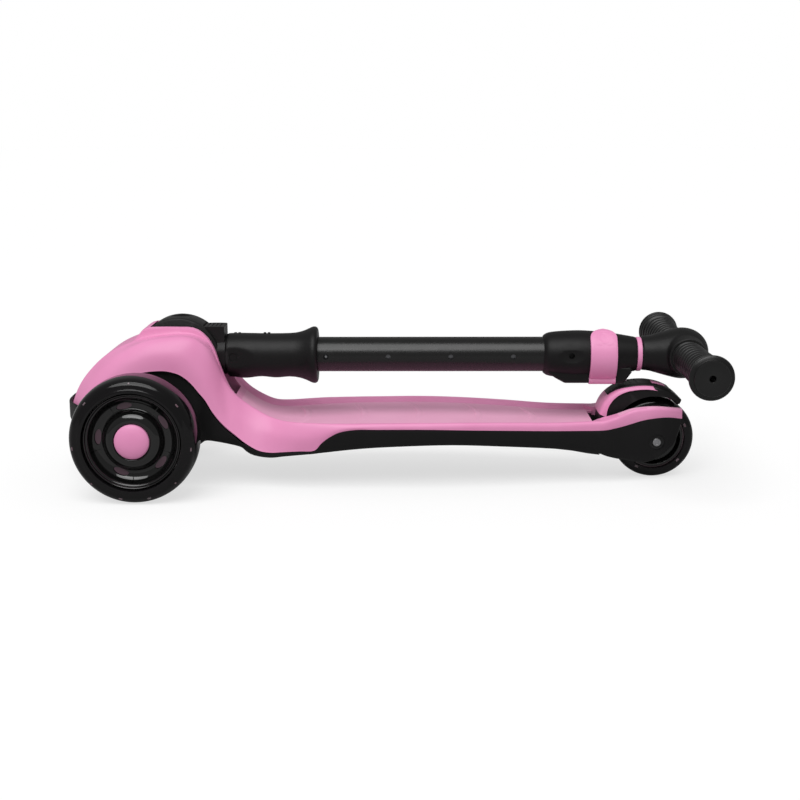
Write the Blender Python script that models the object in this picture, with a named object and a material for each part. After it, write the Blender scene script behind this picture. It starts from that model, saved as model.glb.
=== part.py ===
"""Folding three-wheel kick scooter, stored folded: the stem lies back over the deck.

Lengths are in millimetres from the front axle until make() turns them into metres.
+X runs to the rear, -Y is the rider's left, +Z is up and the floor is z = 0.
"""

import math

import bmesh
import bpy
from mathutils import Vector

MM = 0.001
MIDDLE_X = 235.0  # from the front axle to the middle of the folded scooter

FRONT_AXLE_Z = 60.0
FRONT_WHEEL_R = 60.0
FRONT_WHEEL_IN = 70.0
FRONT_WHEEL_OUT = 114.0
REAR_AXLE = (496.8, 40.0)
REAR_WHEEL_R = 40.0
REAR_WHEEL_HALF = 13.0
PIVOT = (30.0, 120.0)  # stem fold pivot
DRUM_R = 40.7
DRUM_HALF = 17.3
SLOT_HALF = 19.8
STEM_Z = 122.4
TUBE_R = 17.0
INNER_TUBE_R = 14.7
BAR = (524.0, 124.0)  # crossbar axis
LEG_IN = 24.0
KINGPIN_Y = 42.0
KINGPIN_LEAN = math.radians(30)
KINGPIN_AXIS = (-math.sin(KINGPIN_LEAN), 0.0, math.cos(KINGPIN_LEAN))
ARM = 22.0
CAM_PIN = (-11.5, 99.0)
BRAKE_PIN = (449.5, 60.3)
SHELL_WALL = 2.4

FINISHES = {
    "pink_plastic": ((0.82, 0.31, 0.53), 0.35, 0.0),
    "black_plastic": ((0.02, 0.02, 0.022), 0.5, 0.0),
    "smoke_tyre": ((0.03, 0.03, 0.035), 0.15, 0.0),
    "black_gloss": ((0.015, 0.015, 0.018), 0.12, 0.0),
    "light_band": ((0.6, 0.6, 0.62), 0.3, 0.0),
    "black_paint": ((0.02, 0.02, 0.022), 0.35, 0.0),
    "steel": ((0.55, 0.56, 0.58), 0.3, 1.0),
    "grip_rubber": ((0.025, 0.025, 0.027), 0.7, 0.0),
}


def place(x, y, z):
    return Vector(((x - MIDDLE_X) * MM, y * MM, z * MM))


def material(slot):
    found = bpy.data.materials.get(slot)
    if found:
        return found
    colour, rough, metal = FINISHES[slot]
    made = bpy.data.materials.new(slot)
    made.use_nodes = True
    shader = made.node_tree.nodes["Principled BSDF"]
    shader.inputs["Base Color"].default_value = (*colour, 1.0)
    shader.inputs["Roughness"].default_value = rough
    shader.inputs["Metallic"].default_value = metal
    return made


def make(name, build, slot=None, origin=(MIDDLE_X, 0.0, 0.0)):
    """A named object from build(bm). With no slot it is a hidden helper for a Boolean."""
    bm = bmesh.new()
    build(bm)
    bmesh.ops.remove_doubles(bm, verts=bm.verts, dist=1e-4)
    bmesh.ops.recalc_face_normals(bm, faces=bm.faces)
    bmesh.ops.translate(bm, verts=bm.verts, vec=-Vector(origin))
    bmesh.ops.scale(bm, verts=bm.verts, vec=(MM, MM, MM))
    mesh = bpy.data.meshes.new(name)
    bm.to_mesh(mesh)
    bm.free()
    obj = bpy.data.objects.new(name, mesh)
    obj.location = place(*origin)
    bpy.context.scene.collection.objects.link(obj)
    if slot:
        mesh.materials.append(material(slot))
    else:
        obj.hide_render = True
        obj.display_type = "WIRE"
    return obj


def combine(target, helper, operation):
    step = target.modifiers.new(operation.lower() + "_" + helper.name, "BOOLEAN")
    step.operation = operation
    step.solver = "EXACT"
    step.object = helper


def add(target, name, build):
    combine(target, make(name, build), "UNION")


def cut(target, name, build):
    combine(target, make(name, build), "DIFFERENCE")


def thicken(obj, wall):
    step = obj.modifiers.new("wall", "SOLIDIFY")
    step.thickness = wall * MM
    step.offset = -1.0
    step.use_even_offset = True


# Shapes -------------------------------------------------------------------------


def curve(points, steps):
    """Points along a smooth curve that passes through the given ones."""
    made = []
    last = len(points) - 1
    for i in range(last):
        before, a = points[max(i - 1, 0)], points[i]
        b, after = points[i + 1], points[min(i + 2, last)]
        for k in range(steps):
            t = k / steps
            weights = (
                (-t + 2 * t * t - t**3) / 2,
                (2 - 5 * t * t + 3 * t**3) / 2,
                (t + 4 * t * t - 3 * t**3) / 2,
                (-t * t + t**3) / 2,
            )
            made.append(
                tuple(
                    sum(w * p[n] for w, p in zip(weights, (before, a, b, after)))
                    for n in range(len(a))
                )
            )
    return made + [tuple(points[-1])]


def between(table, x):
    """Straight-line interpolation in a table of (x, value)."""
    if x <= table[0][0]:
        return table[0][1]
    for (x0, v0), (x1, v1) in zip(table, table[1:]):
        if x <= x1:
            return v0 + (v1 - v0) * (x - x0) / (x1 - x0)
    return table[-1][1]


def arc(centre, radius, start, end, steps):
    """Points of an arc in a plane, angles in degrees."""
    angles = [math.radians(start + (end - start) * k / steps) for k in range(steps + 1)]
    return [
        (centre[0] + radius * math.cos(a), centre[1] + radius * math.sin(a)) for a in angles
    ]


def loft(bm, rings, closed=True, capped=True):
    rows = [[bm.verts.new(p) for p in ring] for ring in rings]
    count = len(rows[0])
    for a, b in zip(rows, rows[1:]):
        for i in range(count if closed else count - 1):
            j = (i + 1) % count
            bm.faces.new((a[i], a[j], b[j], b[i]))
    if capped:
        bm.faces.new(rows[0][::-1])
        bm.faces.new(rows[-1])


def prism(bm, outline, low, high):
    """An (x, z) outline as a solid from y = low to y = high."""
    loft(bm, [[(x, y, z) for x, z in outline] for y in (low, high)])


def box(bm, x0, x1, y0, y1, z0, z1):
    prism(bm, [(x0, z0), (x1, z0), (x1, z1), (x0, z1)], y0, y1)


def lathe(bm, profile, at, axis, segments=16, ring=False):
    """Turns (along, radius) points about the axis through at. ring joins last to first."""
    axis = Vector(axis).normalized()
    side = Vector((0, 0, 1)) if abs(axis.y) > 0.99 else Vector((0, 1, 0))
    side = (side - axis * side.dot(axis)).normalized()
    other = axis.cross(side)
    at = Vector(at)
    rows = []
    for along, radius in profile:
        middle = at + axis * along
        if radius < 1e-6:
            rows.append([bm.verts.new(middle)])
            continue
        rows.append(
            [
                bm.verts.new(middle + (side * math.cos(a) + other * math.sin(a)) * radius)
                for a in (math.tau * k / segments for k in range(segments))
            ]
        )
    pairs = list(zip(rows, rows[1:]))
    if ring:
        pairs.append((rows[-1], rows[0]))
    for a, b in pairs:
        for i in range(segments):
            j = (i + 1) % segments
            if len(a) == 1:
                bm.faces.new((a[0], b[j], b[i]))
            elif len(b) == 1:
                bm.faces.new((a[i], a[j], b[0]))
            else:
                bm.faces.new((a[i], a[j], b[j], b[i]))
    if not ring:
        if len(rows[0]) > 1:
            bm.faces.new(rows[0][::-1])
        if len(rows[-1]) > 1:
            bm.faces.new(rows[-1])


def rod(bm, at, axis, start, end, radius, segments=16):
    lathe(bm, [(start, radius), (end, radius)], at, axis, segments)


def nut(name, at, axis, start, end, across, bore):
    """A hexagonal nut round a shaft."""
    made = make(name, lambda bm: rod(bm, at, axis, start, end, across, 6), "steel", at)
    cut(made, name + "_bore", lambda bm: rod(bm, at, axis, start - 1, end + 1, bore))


def coil(bm, at, axis, length, radius, wire, turns, per_turn=6, sides=4):
    """A closed helical spring from at, along the axis."""
    axis = Vector(axis).normalized()
    side = Vector((0, 0, 1)) if abs(axis.y) > 0.99 else Vector((0, 1, 0))
    other = axis.cross(side)
    at = Vector(at)
    rings = []
    steps = int(turns * per_turn)
    for k in range(steps + 1):
        a = math.tau * turns * k / steps
        out = side * math.cos(a) + other * math.sin(a)
        middle = at + axis * (wire + (length - 2 * wire) * k / steps) + out * radius
        angles = (math.tau * n / sides for n in range(sides))
        rings.append([middle + (out * math.cos(b) + axis * math.sin(b)) * wire for b in angles])
    loft(bm, rings)


# Deck shell and lower chassis -----------------------------------------------------

# Half sections of the pink shell, front to rear: centre line, inner top, inner crest,
# shoulder or outer crest, side, lower edge.
SECTIONS = [
    [(-76, 0, 71), (-75, 19, 71), (-71.5, 33, 71), (-65, 44, 71), (-58, 51, 71.5), (-52, 55, 72)],
    [(-72.6, 0, 81), (-71.8, 19, 81), (-68.5, 33, 80.5), (-62, 44, 80), (-55, 51.5, 79.5), (-49, 55.5, 79)],
    [(-67, 0, 93), (-66.2, 19, 93), (-63, 33, 92), (-56.5, 44, 90.5), (-49.5, 52, 88.5), (-44, 56, 86.5)],
    [(-59.6, 0, 103.4), (-59, 19, 103.2), (-56, 33, 102), (-49.5, 44, 100), (-42.5, 52.5, 97), (-38, 56.3, 94)],
    [(-51, 0, 112.5), (-50.5, 19, 112.2), (-47.5, 33, 111), (-41.5, 44, 108.5), (-34.5, 52.5, 104.5), (-31, 56.6, 100.5)],
    [(-41, 0, 121.5), (-40.5, 19, 121.2), (-38, 33, 119.8), (-32.5, 44, 117), (-26.5, 52.8, 111.5), (-23, 56.8, 106.5)],
    [(-30.6, 0, 129), (-30, 19, 128.7), (-28, 33, 127.3), (-23.5, 44.5, 124.3), (-18, 53, 118), (-14, 57, 111)],
    [(-20, 0, 134.5), (-19.7, 19, 134.3), (-18, 33, 133), (-14.5, 45, 130.5), (-9.5, 53.5, 123), (-5, 57, 113.5)],
    [(-9, 0, 139), (-8.7, 20, 139), (-7.5, 33, 138), (-5, 45.5, 136.5), (-1, 54, 127), (4, 57, 115)],
    [(4, 0, 142.5), (4, 22, 143.5), (4.5, 34, 143.3), (6, 45.5, 142), (9, 54.3, 131.5), (13, 57, 116)],
    [(20, 0, 144), (20, 24, 146), (20.5, 34, 146), (21, 46, 145), (22.5, 54.7, 133), (24, 57, 116)],
    [(37, 0, 144), (37, 25, 147), (37, 34, 147), (37, 46, 146), (36.5, 54.8, 132), (35, 57, 113.3)],
    [(48, 0, 142), (48, 25, 145.5), (48, 34, 145.3), (47.5, 46, 144), (45.5, 54.5, 127.5), (43, 57, 108.5)],
    [(56, 0, 138), (56, 24.5, 141.5), (55.5, 34, 141), (55, 45.5, 139.5), (52.5, 54, 120), (49.5, 57, 102)],
    [(61.5, 0, 132), (61.5, 23.5, 136.5), (61, 33, 136), (60.5, 44.5, 134.5), (58, 53.5, 112.5), (55, 57, 95)],
    [(66, 0, 121), (66, 22, 127), (66, 28, 129.5), (65.5, 42.5, 127.5), (63, 53, 104.5), (61, 57, 87.5)],
    [(70, 0, 111), (70, 22.5, 115), (70, 28, 119), (70, 40, 118), (68.5, 51.5, 96), (67, 57, 77)],
    [(74.5, 0, 102), (74.5, 24.5, 103.5), (74.5, 30, 107.5), (74.5, 38, 107), (74, 50, 86.5), (73.5, 56.5, 68)],
    [(79.5, 0, 94), (79.5, 26.5, 94.5), (79.5, 32, 98), (79.7, 38, 97.6), (80, 48.5, 78), (80.5, 56, 60.5)],
    [(86.5, 0, 85.5), (86.5, 27.5, 85.3), (86.5, 33, 88.8), (86.8, 38, 88.6), (88, 48, 71), (88.5, 55.5, 53.5)],
    [(96, 0, 77), (96, 27, 76.6), (96, 32.5, 80.5), (96.3, 37, 80.4), (97.5, 47.5, 64.5), (98, 55.5, 45.5)],
    [(108, 0, 69.3), (108, 28.5, 69), (108, 34, 73), (108.3, 38.5, 73), (109.5, 49, 58), (110, 56, 38.5)],
    [(120, 0, 63.8), (120, 32.5, 63.7), (120, 38, 67.6), (120, 42.3, 67.6), (121, 52.5, 54.8), (122, 57.5, 36.6)],
    [(134, 0, 61.2), (134, 41, 61.1), (134, 46.5, 65.1), (134, 50.8, 65.2), (134.5, 57.8, 53), (135, 60, 37.8)],
    [(150, 0, 60.6), (150, 47.5, 60.6), (150, 53, 64.7), (150, 57.3, 64.8), (150, 62.2, 52.5), (150, 62, 39)],
    [(168, 0, 61), (168, 52, 61), (168, 57.3, 65.1), (168, 61.5, 65.1), (167, 65.2, 54.5), (164.5, 64, 40.2)],
    [(178, 0, 61.2), (178, 53.3, 61.2), (178, 58.6, 65.3), (178, 62.8, 65.3), (176.5, 65.6, 58), (172, 64.8, 48)],
    [(188, 0, 61.5), (188, 54.2, 61.5), (188, 59.4, 65.6), (188, 63.6, 65.6), (186.5, 66, 61), (181, 65.3, 54.6)],
    [(198, 0, 61.8), (198, 54.8, 61.8), (198, 60, 65.8), (198, 64, 65.8), (197, 66.2, 62.8), (191, 65.7, 59)],
    [(210, 0, 62), (210, 55, 62), (210, 60.2, 66), (210, 64.2, 66), (210, 66.3, 63.4), (206, 66, 61.1)],
]

# Plan half width of the deck's rim, height of its crest and of its lower edge.
RIM = [(210, 62.2), (270, 62.2), (290, 61.1), (310, 58.7), (350, 53), (390, 46.3), (410, 42.4), (440, 39.2)]
CREST = [(210, 66), (280, 66.6), (330, 65.6), (370, 64.1), (400, 62.9), (440, 63.4)]
EDGE = [(206, 61.1), (272, 61.2), (330, 59), (398, 55.8), (427, 54.9), (440, 54.9)]
# Height of the chassis underside.
BELLY = [(55, 45), (64, 46.6), (93, 40), (99, 34.5), (108, 31), (122, 29.8), (135, 31.8), (165, 35.6),
         (207, 40.6), (254, 43.3), (292, 43.9), (330, 42.1), (399, 36.3), (428, 31), (441, 29)]
LEG_TOP = [(425, 62.9), (441, 63.7), (455, 66.9), (471, 72.6), (483, 74.5), (497, 75.1), (520, 73.3)]
LEG_LINE = [(425, 54.9), (444, 54.9), (458, 56.8), (471, 59.6), (483, 62.7), (497, 64.6), (507, 65.2), (520, 64)]
LEG_OUT = [(425, 43.9), (441, 42.2), (455, 39), (471, 34.4), (483, 32.3), (497, 31), (520, 31)]
LEG_BELLY = [(425, 33), (436, 31.2), (441, 30.2), (447, 27.6), (456, 24.8), (470, 21.5), (484, 19), (494, 21), (504, 27), (513, 36),
             (517, 45), (519.5, 55)]


def deck_section(x):
    half, crest, edge = between(RIM, x), between(CREST, x), between(EDGE, x)
    return [
        (x, 0, crest - 4),
        (x, half - 7.2, crest - 4),
        (x, half - 2, crest),
        (x, half + 2, crest),
        (x, half + 3.7, crest - 2.6),
        (x, half + 3.8, edge),
    ]


def shell_rows():
    """Half sections of the whole shell, smoothed lengthwise."""
    stations = SECTIONS + [deck_section(x) for x in range(225, 430, 43)] + [deck_section(440)]
    rails = [curve([s[n] for s in stations], 1) for n in range(6)]
    return [list(row) for row in zip(*rails)]


def both_sides(half):
    """A full section from its half, which starts on the centre line."""
    return [(x, -y, z) for x, y, z in half[:0:-1]] + list(half)


def shell_skin(bm):
    loft(bm, [both_sides(row) for row in shell_rows()], closed=False, capped=False)


def spine(bm):
    """The two cheeks and their front end, before the slot is cut."""
    outline = [(-15, 96), (-15, 134), (-11, 140), (-6, 147), (-2.3, 151.2), (2.5, 153.2), (43.5, 152.8)]
    outline += [(51.6, 149.9), (58.2, 144.3), (62.2, 139), (65.4, 132), (68.5, 121), (70.5, 112), (70.5, 84)]
    outline += [(20, 84)]
    prism(bm, outline, -24.3, 24.3)


def slot(bm):
    outline = arc(PIVOT, DRUM_R + 1.1, 127, 270, 24)
    outline += [(85.8, PIVOT[1] - DRUM_R - 1.1), (85.8, 190), (5, 190)]
    prism(bm, outline, -SLOT_HALF, SLOT_HALF)


def leg_pink(side):
    def build(bm):
        rings = []
        for x in (426, 436, 448, 455, 463, 471, 477, 483, 490, 497, 508, 520):
            out, top, line = between(LEG_OUT, x), between(LEG_TOP, x), between(LEG_LINE, x)
            inner = out - 9 if x < 430 else LEG_IN
            ring = [(x, inner, line), (x, out, line), (x, out + 0.4, top - 3), (x, out - 1.6, top)]
            ring += [(x, inner, top)]
            rings.append([(px, side * py, pz) for px, py, pz in ring])
        loft(bm, rings)

    return build


def build_deck_shell():
    shell = make("deck_shell", shell_skin, "pink_plastic")
    thicken(shell, SHELL_WALL)
    add(shell, "spine", spine)
    cut(shell, "slot", slot)
    cut(shell, "fender_notch", lambda bm: box(bm, 434.5, 470, -25.1, 25.1, 30, 90))
    add(shell, "leg_pink_left", leg_pink(-1))
    add(shell, "leg_pink_right", leg_pink(1))
    brake = (BRAKE_PIN[0], 0, BRAKE_PIN[1])
    cut(shell, "brake_pin_seat", lambda bm: rod(bm, brake, (0, 1, 0), -28, 28, 2.6))
    cut(shell, "pivot_hole", lambda bm: rod(bm, (PIVOT[0], 0, PIVOT[1]), (0, 1, 0), -26, 26, 5.2))
    return shell


def belly(bm):
    """The open-topped tray under the deck, whose sides rise to the shell's lower edge."""
    wall = 2.6
    rings = []
    edge = [row[5] for row in shell_rows() if row[5][0] > 54]
    for x, y, z in edge:
        low = between(BELLY, x)
        top = z - (2.9 if x < 96 else 1.4)
        side = y - 0.3
        bend = min(2.5, (top - low) * 0.3)
        outer = [(x, 0, low), (x, side - 9, low), (x, side - 2.8, low + bend)]
        outer += [(x, side - 0.8, (low + top) / 2), (x, side, top)]
        inner = [(x, 0, low + wall), (x, side - 10, low + wall), (x, side - 4.6, low + bend + 2)]
        inner += [(x, side - 3.4, max(low + bend + 2.6, (low + top) / 2)), (x, side - wall, top)]
        rings.append(both_sides(outer) + both_sides(inner)[::-1])
    loft(bm, rings)


def arch_wall(side):
    """The inner wall of the front wheel arch, with a notch for the steering knuckle."""

    def build(bm):
        edge = [row[5] for row in shell_rows() if -28 < row[5][0] < 50]
        outline = []
        for x, _, z in edge:
            away = Vector((x, z - FRONT_AXLE_Z))
            away *= (away.length + 3.5) / away.length
            outline.append((away.x, FRONT_AXLE_Z + away.y))
        outline += [(56.5, 84), (56.5, 46.5), (26, 46.5), (26, 90), (-26, 90), (-26, 46.5), (-50, 46.5)]
        prism(bm, outline, side * 49, side * 51.5)

    return build


def bumper(bm):
    profile = [(-79, 81), (-77.9, 82), (-76.6, 81), (-76.4, 70), (-70, 64), (-58, 49), (-58, 45)]
    profile += [(-62, 45), (-75, 58), (-79, 66)]
    rings = []
    for y, back in ((-55, 19.5), (-50, 14.5), (-43, 9.8), (-33, 4.3), (-19, 0.9), (0, 0)):
        rings.append([(x + back, y, z) for x, z in profile])
    rings += [[(x, -y, z) for x, y, z in ring] for ring in rings[-2::-1]]
    loft(bm, rings)


def leg_black(side):
    def build(bm):
        rings = []
        for x in (430, 441, 450, 456, 463, 470, 477, 484, 489, 494, 499, 504, 509, 513, 517, 519.5):
            out, line, low = between(LEG_OUT, x), between(LEG_LINE, x) - 0.35, between(LEG_BELLY, x)
            ring = [(x, LEG_IN, low), (x, out - 2.5, low), (x, out - 0.4, low + 3), (x, out, line)]
            ring += [(x, LEG_IN, line)]
            rings.append([(px, side * py, pz) for px, py, pz in ring])
        loft(bm, rings)

    return build


def build_lower_chassis():
    body = make("lower_chassis", belly, "black_plastic")
    add(body, "floor_plate", lambda bm: box(bm, -60, 57, -50.3, 50.3, 45.5, 47.4))
    add(body, "arch_wall_left", arch_wall(-1))
    add(body, "arch_wall_right", arch_wall(1))
    add(body, "bumper", bumper)
    cut(body, "fender_gap", lambda bm: box(bm, 434.5, 470, -25.1, 25.1, 20, 90))
    add(body, "leg_black_left", leg_black(-1))
    add(body, "leg_black_right", leg_black(1))
    rear = (REAR_AXLE[0], 0, REAR_AXLE[1])
    cut(body, "rear_axle_hole", lambda bm: rod(bm, rear, (0, 1, 0), -40, 40, 4.1))
    cut(body, "axle_recess_left", lambda bm: rod(bm, rear, (0, 1, 0), -36, -28, 8))
    cut(body, "axle_recess_right", lambda bm: rod(bm, rear, (0, 1, 0), 28, 36, 8))
    pin = (BRAKE_PIN[0], 0, BRAKE_PIN[1])
    cut(body, "brake_pin_hole", lambda bm: rod(bm, pin, (0, 1, 0), -28, 28, 2.6))
    for name, x in (("front", 180), ("rear", 360)):
        at = (x, 0, between(BELLY, x))
        cut(body, "screw_hole_" + name, lambda bm, at=at: rod(bm, at, (0, 0, 1), -3, 8, 2.2, 16))
    return body


# Front truck: bridge, kingpins, knuckles and tie rod ---------------------------------


def kingpin_centre(side):
    return (0.0, side * KINGPIN_Y, FRONT_AXLE_Z)


def arm_end(side, up=0.0):
    """The arm's pin, up millimetres along the kingpin from the axle's height."""
    c, s = math.cos(KINGPIN_LEAN), math.sin(KINGPIN_LEAN)
    return (ARM * c - up * s, side * KINGPIN_Y, FRONT_AXLE_Z + ARM * s + up * c)


def build_bridge():
    bridge = make(
        "steering_bridge", lambda bm: box(bm, -15, 9, -27, 27, 48.3, 76), "black_plastic"
    )
    add(bridge, "bridge_top", lambda bm: box(bm, -16, 7, -48, 48, 70.5, 75.5))
    add(bridge, "bridge_foot", lambda bm: box(bm, -7, 18, -48, 48, 48.4, 50.7))
    rod_at = arm_end(1, 6)
    add(
        bridge,
        "spring_post",
        lambda bm: box(bm, 8, rod_at[0] + 6, -4, 4, 62, rod_at[2] + 1.8),
    )
    for side, name in ((-1, "left"), (1, "right")):
        at = kingpin_centre(side)
        cut(bridge, "kingpin_hole_" + name, lambda bm, at=at: rod(bm, at, KINGPIN_AXIS, -24, 30, 4.1))
    cut(
        bridge,
        "tie_rod_hole",
        lambda bm: rod(bm, (rod_at[0], 0, rod_at[2]), (0, 1, 0), -6, 6, 3.0),
    )


def build_side_truck(side, name):
    at = kingpin_centre(side)
    make(
        "kingpin_" + name,
        lambda bm: lathe(bm, [(-11.8, 4), (21.8, 4), (21.8, 6), (24.6, 6)], at, KINGPIN_AXIS),
        "steel",
        at,
    )
    knuckle = make(
        "knuckle_" + name, lambda bm: rod(bm, at, KINGPIN_AXIS, -6, 6, 7.6), "steel", at
    )
    out = (0, side, 0)
    centre = (0, at[1], FRONT_AXLE_Z)
    add(knuckle, "knuckle_spindle_" + name, lambda bm: rod(bm, centre, out, 2, 25.5, 7.5))

    def arm(bm):
        across = Vector((0, side, 0))
        along = Vector((math.cos(KINGPIN_LEAN), 0, math.sin(KINGPIN_LEAN)))
        up = Vector(KINGPIN_AXIS)
        rings = []
        for reach, half in ((4, 5), (ARM - 3, 5), (ARM + 3, 4.5), (ARM + 5.5, 2.5)):
            middle = Vector(at) + along * reach
            rings.append([middle + across * a + up * b for a, b in
                          ((-half, -2.5), (half, -2.5), (half, 2.5), (-half, 2.5))])
        loft(bm, rings)

    add(knuckle, "knuckle_arm_" + name, arm)
    cut(knuckle, "knuckle_bore_" + name, lambda bm: rod(bm, at, KINGPIN_AXIS, -12, 12, 4.1))
    cut(knuckle, "spindle_bore_" + name, lambda bm: rod(bm, centre, out, 9, 30, 4.1))
    pin = arm_end(side)
    cut(knuckle, "arm_hole_" + name, lambda bm: rod(bm, pin, KINGPIN_AXIS, -6, 6, 3.3, 24))
    shaft = [(9.5, 4), (63.8, 4)]
    make("stub_axle_" + name, lambda bm: lathe(bm, shaft, centre, out), "steel", centre)
    nut("axle_nut_" + name, centre, out, 60.8, 65.2, 6.8, 4.1)


def build_tie_rod():
    at = arm_end(1, 6)
    middle = (at[0], 0, at[2])
    profile = [(-44, 0), (-44, 2.5), (-33, 2.5), (-33, 6), (-31, 6), (-31, 2.5)]
    profile += [(31, 2.5), (31, 6), (33, 6), (33, 2.5), (44, 2.5), (44, 0)]
    tie = make("tie_rod", lambda bm: lathe(bm, profile, middle, (0, 1, 0), 16), "steel", middle)
    for side, name in ((-1, "left"), (1, "right")):
        pin = arm_end(side)
        add(tie, "tie_pin_" + name, lambda bm, pin=pin: rod(bm, pin, KINGPIN_AXIS, -3.5, 6, 2.4, 16))
    for low, name in ((-30.6, "left"), (4.4, "right")):
        start = (at[0], low, at[2])
        make(
            "centring_spring_" + name,
            lambda bm, start=start: coil(bm, start, (0, 1, 0), 26.2, 4.2, 0.8, 5),
            "steel",
            start,
        )


# Wheels -----------------------------------------------------------------------------


def build_front_wheel(side, name):
    """A moulded tyre over a light band and a spoked core, on two bearings."""
    centre = (0, side * (FRONT_WHEEL_IN + FRONT_WHEEL_OUT) / 2, FRONT_AXLE_Z)
    out = (0, side, 0)
    half = (FRONT_WHEEL_OUT - FRONT_WHEEL_IN) / 2
    r = FRONT_WHEEL_R
    tyre = [(-half, 46.5), (-half, 52), (-half + 3, 56.5), (-half + 8, 59.2), (-7, r), (7, r)]
    tyre += [(half - 8, 59.2), (half - 3, 56.5), (half, 52), (half, 46.5)]
    tyre += [(half - 4, 45.9), (4 - half, 45.9)]
    make("tyre_" + name, lambda bm: lathe(bm, tyre, centre, out, 32, True), "smoke_tyre", centre)
    band = [(-14, 44.2), (14, 44.2), (14, 45.5), (-14, 45.5)]
    make("light_band_" + name, lambda bm: lathe(bm, band, centre, out, 32, True), "light_band", centre)
    core = [(-17, 43.8), (-17, 40), (-6, 38.5), (-6, 22), (-19.5, 19), (-19.5, 11.35), (-12, 11.35)]
    core += [(-12, 8.5), (3, 8.5), (3, 11.35), (15.5, 11.35), (15.5, 17.5), (13, 22), (6, 25.5)]
    core += [(4, 38.5), (17, 41), (17, 43.8)]
    hub = make("wheel_core_" + name, lambda bm: lathe(bm, core, centre, out, 24, True), "black_gloss", centre)
    for k in range(3):

        def window(bm, k=k):
            start = 38 + 120 * k
            outline = arc((0, FRONT_AXLE_Z), 36.5, start, start + 64, 6)
            outline += arc((0, FRONT_AXLE_Z), 28, start + 64, start, 5)
            prism(bm, outline, centre[1] - 12, centre[1] + 12)

        cut(hub, f"wheel_window_{name}_{k}", window)
    for low, where in ((-19.4, "inner"), (3.3, "outer")):
        ring = [(low, 4.1), (low + 7, 4.1), (low + 7, 11), (low, 11)]
        make(
            f"bearing_{where}_{name}",
            lambda bm, ring=ring: lathe(bm, ring, centre, out, 16, True),
            "steel",
            centre,
        )
    cap = [(16.2, 0), (16.2, 16.3), (18.2, 16.3), (20.2, 14.5), (21.7, 11), (22.6, 6), (22.9, 0)]
    make("hub_cap_" + name, lambda bm: lathe(bm, cap, centre, out), "pink_plastic", centre)


def build_rear_wheel():
    centre = (REAR_AXLE[0], 0, REAR_AXLE[1])
    across = (0, 1, 0)
    r, half = REAR_WHEEL_R, REAR_WHEEL_HALF
    tyre = [(-half, 30.6), (-half, 35), (-half + 2, 38), (-half + 5.5, 39.6), (-3, r), (3, r)]
    tyre += [(half - 5.5, 39.6), (half - 2, 38), (half, 35), (half, 30.6)]
    make("tyre_rear", lambda bm: lathe(bm, tyre, centre, across, 28, True), "smoke_tyre", centre)
    band = [(-9, 29), (9, 29), (9, 30.2), (-9, 30.2)]
    make("light_band_rear", lambda bm: lathe(bm, band, centre, across, 28, True), "light_band", centre)
    core = [(-12, 28.6), (-12, 26), (-5, 24.5), (-5, 16), (-12.5, 14), (-12.5, 11.3), (-5.2, 11.3)]
    core += [(-5.2, 8.5), (5.2, 8.5), (5.2, 11.3), (12.5, 11.3), (12.5, 14), (5, 16), (5, 24.5)]
    core += [(12, 26), (12, 28.6)]
    make("wheel_core_rear", lambda bm: lathe(bm, core, centre, across, 24, True), "black_gloss", centre)
    for low, where in ((-12.5, "left"), (5.5, "right")):
        ring = [(low, 4.1), (low + 7, 4.1), (low + 7, 11), (low, 11)]
        make(
            "bearing_rear_" + where,
            lambda bm, ring=ring: lathe(bm, ring, centre, across, 16, True),
            "steel",
            centre,
        )
    shaft = [(-30.2, 0), (-30.2, 4.6), (-28.2, 5.2), (-27.8, 4), (30.6, 4), (30.6, 0)]
    shaft[3] = (-28.2, 4)
    make("rear_axle", lambda bm: lathe(bm, shaft, centre, across), "steel", centre)
    nut("rear_axle_nut", centre, across, 28.2, 30.4, 7, 4.1)


# Brake fender -----------------------------------------------------------------------

# Angle about the rear axle in degrees, and radius of the fender's crown there.
CROWN = [(164, 60), (155, 62.3), (146, 64), (137, 64.2), (129, 63.2), (121, 61.2), (113, 58.8), (105, 56.8),
         (97, 55.2), (89, 53.6), (81, 52.2), (73, 50.6), (65, 48.8), (58, 47.5)]


def fender_ring(angle, points):
    """(y, radius) points in the plane that leaves the rear axle at this angle."""
    a = math.radians(angle)
    return [(REAR_AXLE[0] + r * math.cos(a), y, REAR_AXLE[1] + r * math.sin(a)) for y, r in points]


def fender_shell(bm):
    rings = []
    for angle, crown in CROWN:
        top = crown - 2.8
        foot = min(43.5 + max(0.0, angle - 140) * 0.22, top - 5)
        outer = [(-18, foot), (-18, top - 3), (-15, top), (15, top), (18, top - 3), (18, foot)]
        inner = [(16, foot), (16, top - 4), (13.5, top - 2.2), (-13.5, top - 2.2), (-16, top - 4)]
        rings.append(fender_ring(angle, outer + inner + [(-16, foot)]))
    loft(bm, rings)


def fender_trim(bm):
    rings = []
    for angle, crown in CROWN[1:-1]:
        top = crown - 2.5
        outer = [(-19.4, top - 5.5), (-19.4, top - 2), (-16, top + 1.2), (16, top + 1.2), (19.4, top - 2)]
        inner = [(18.3, top - 5.5), (18.3, top - 3), (15.2, top + 0.05), (-15.2, top + 0.05)]
        rings.append(fender_ring(angle, outer + [(19.4, top - 5.5)] + inner + [(-18.3, top - 3), (-18.3, top - 5.5)]))
    loft(bm, rings)


def fender_pad(bm):
    rings = []
    for angle, crown in CROWN[2:-2]:
        low = crown - 1.0
        rings.append(fender_ring(angle, [(-13.5, low), (-12.5, crown + 0.2), (12.5, crown + 0.2), (13.5, low)]))
    loft(bm, rings)


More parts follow.
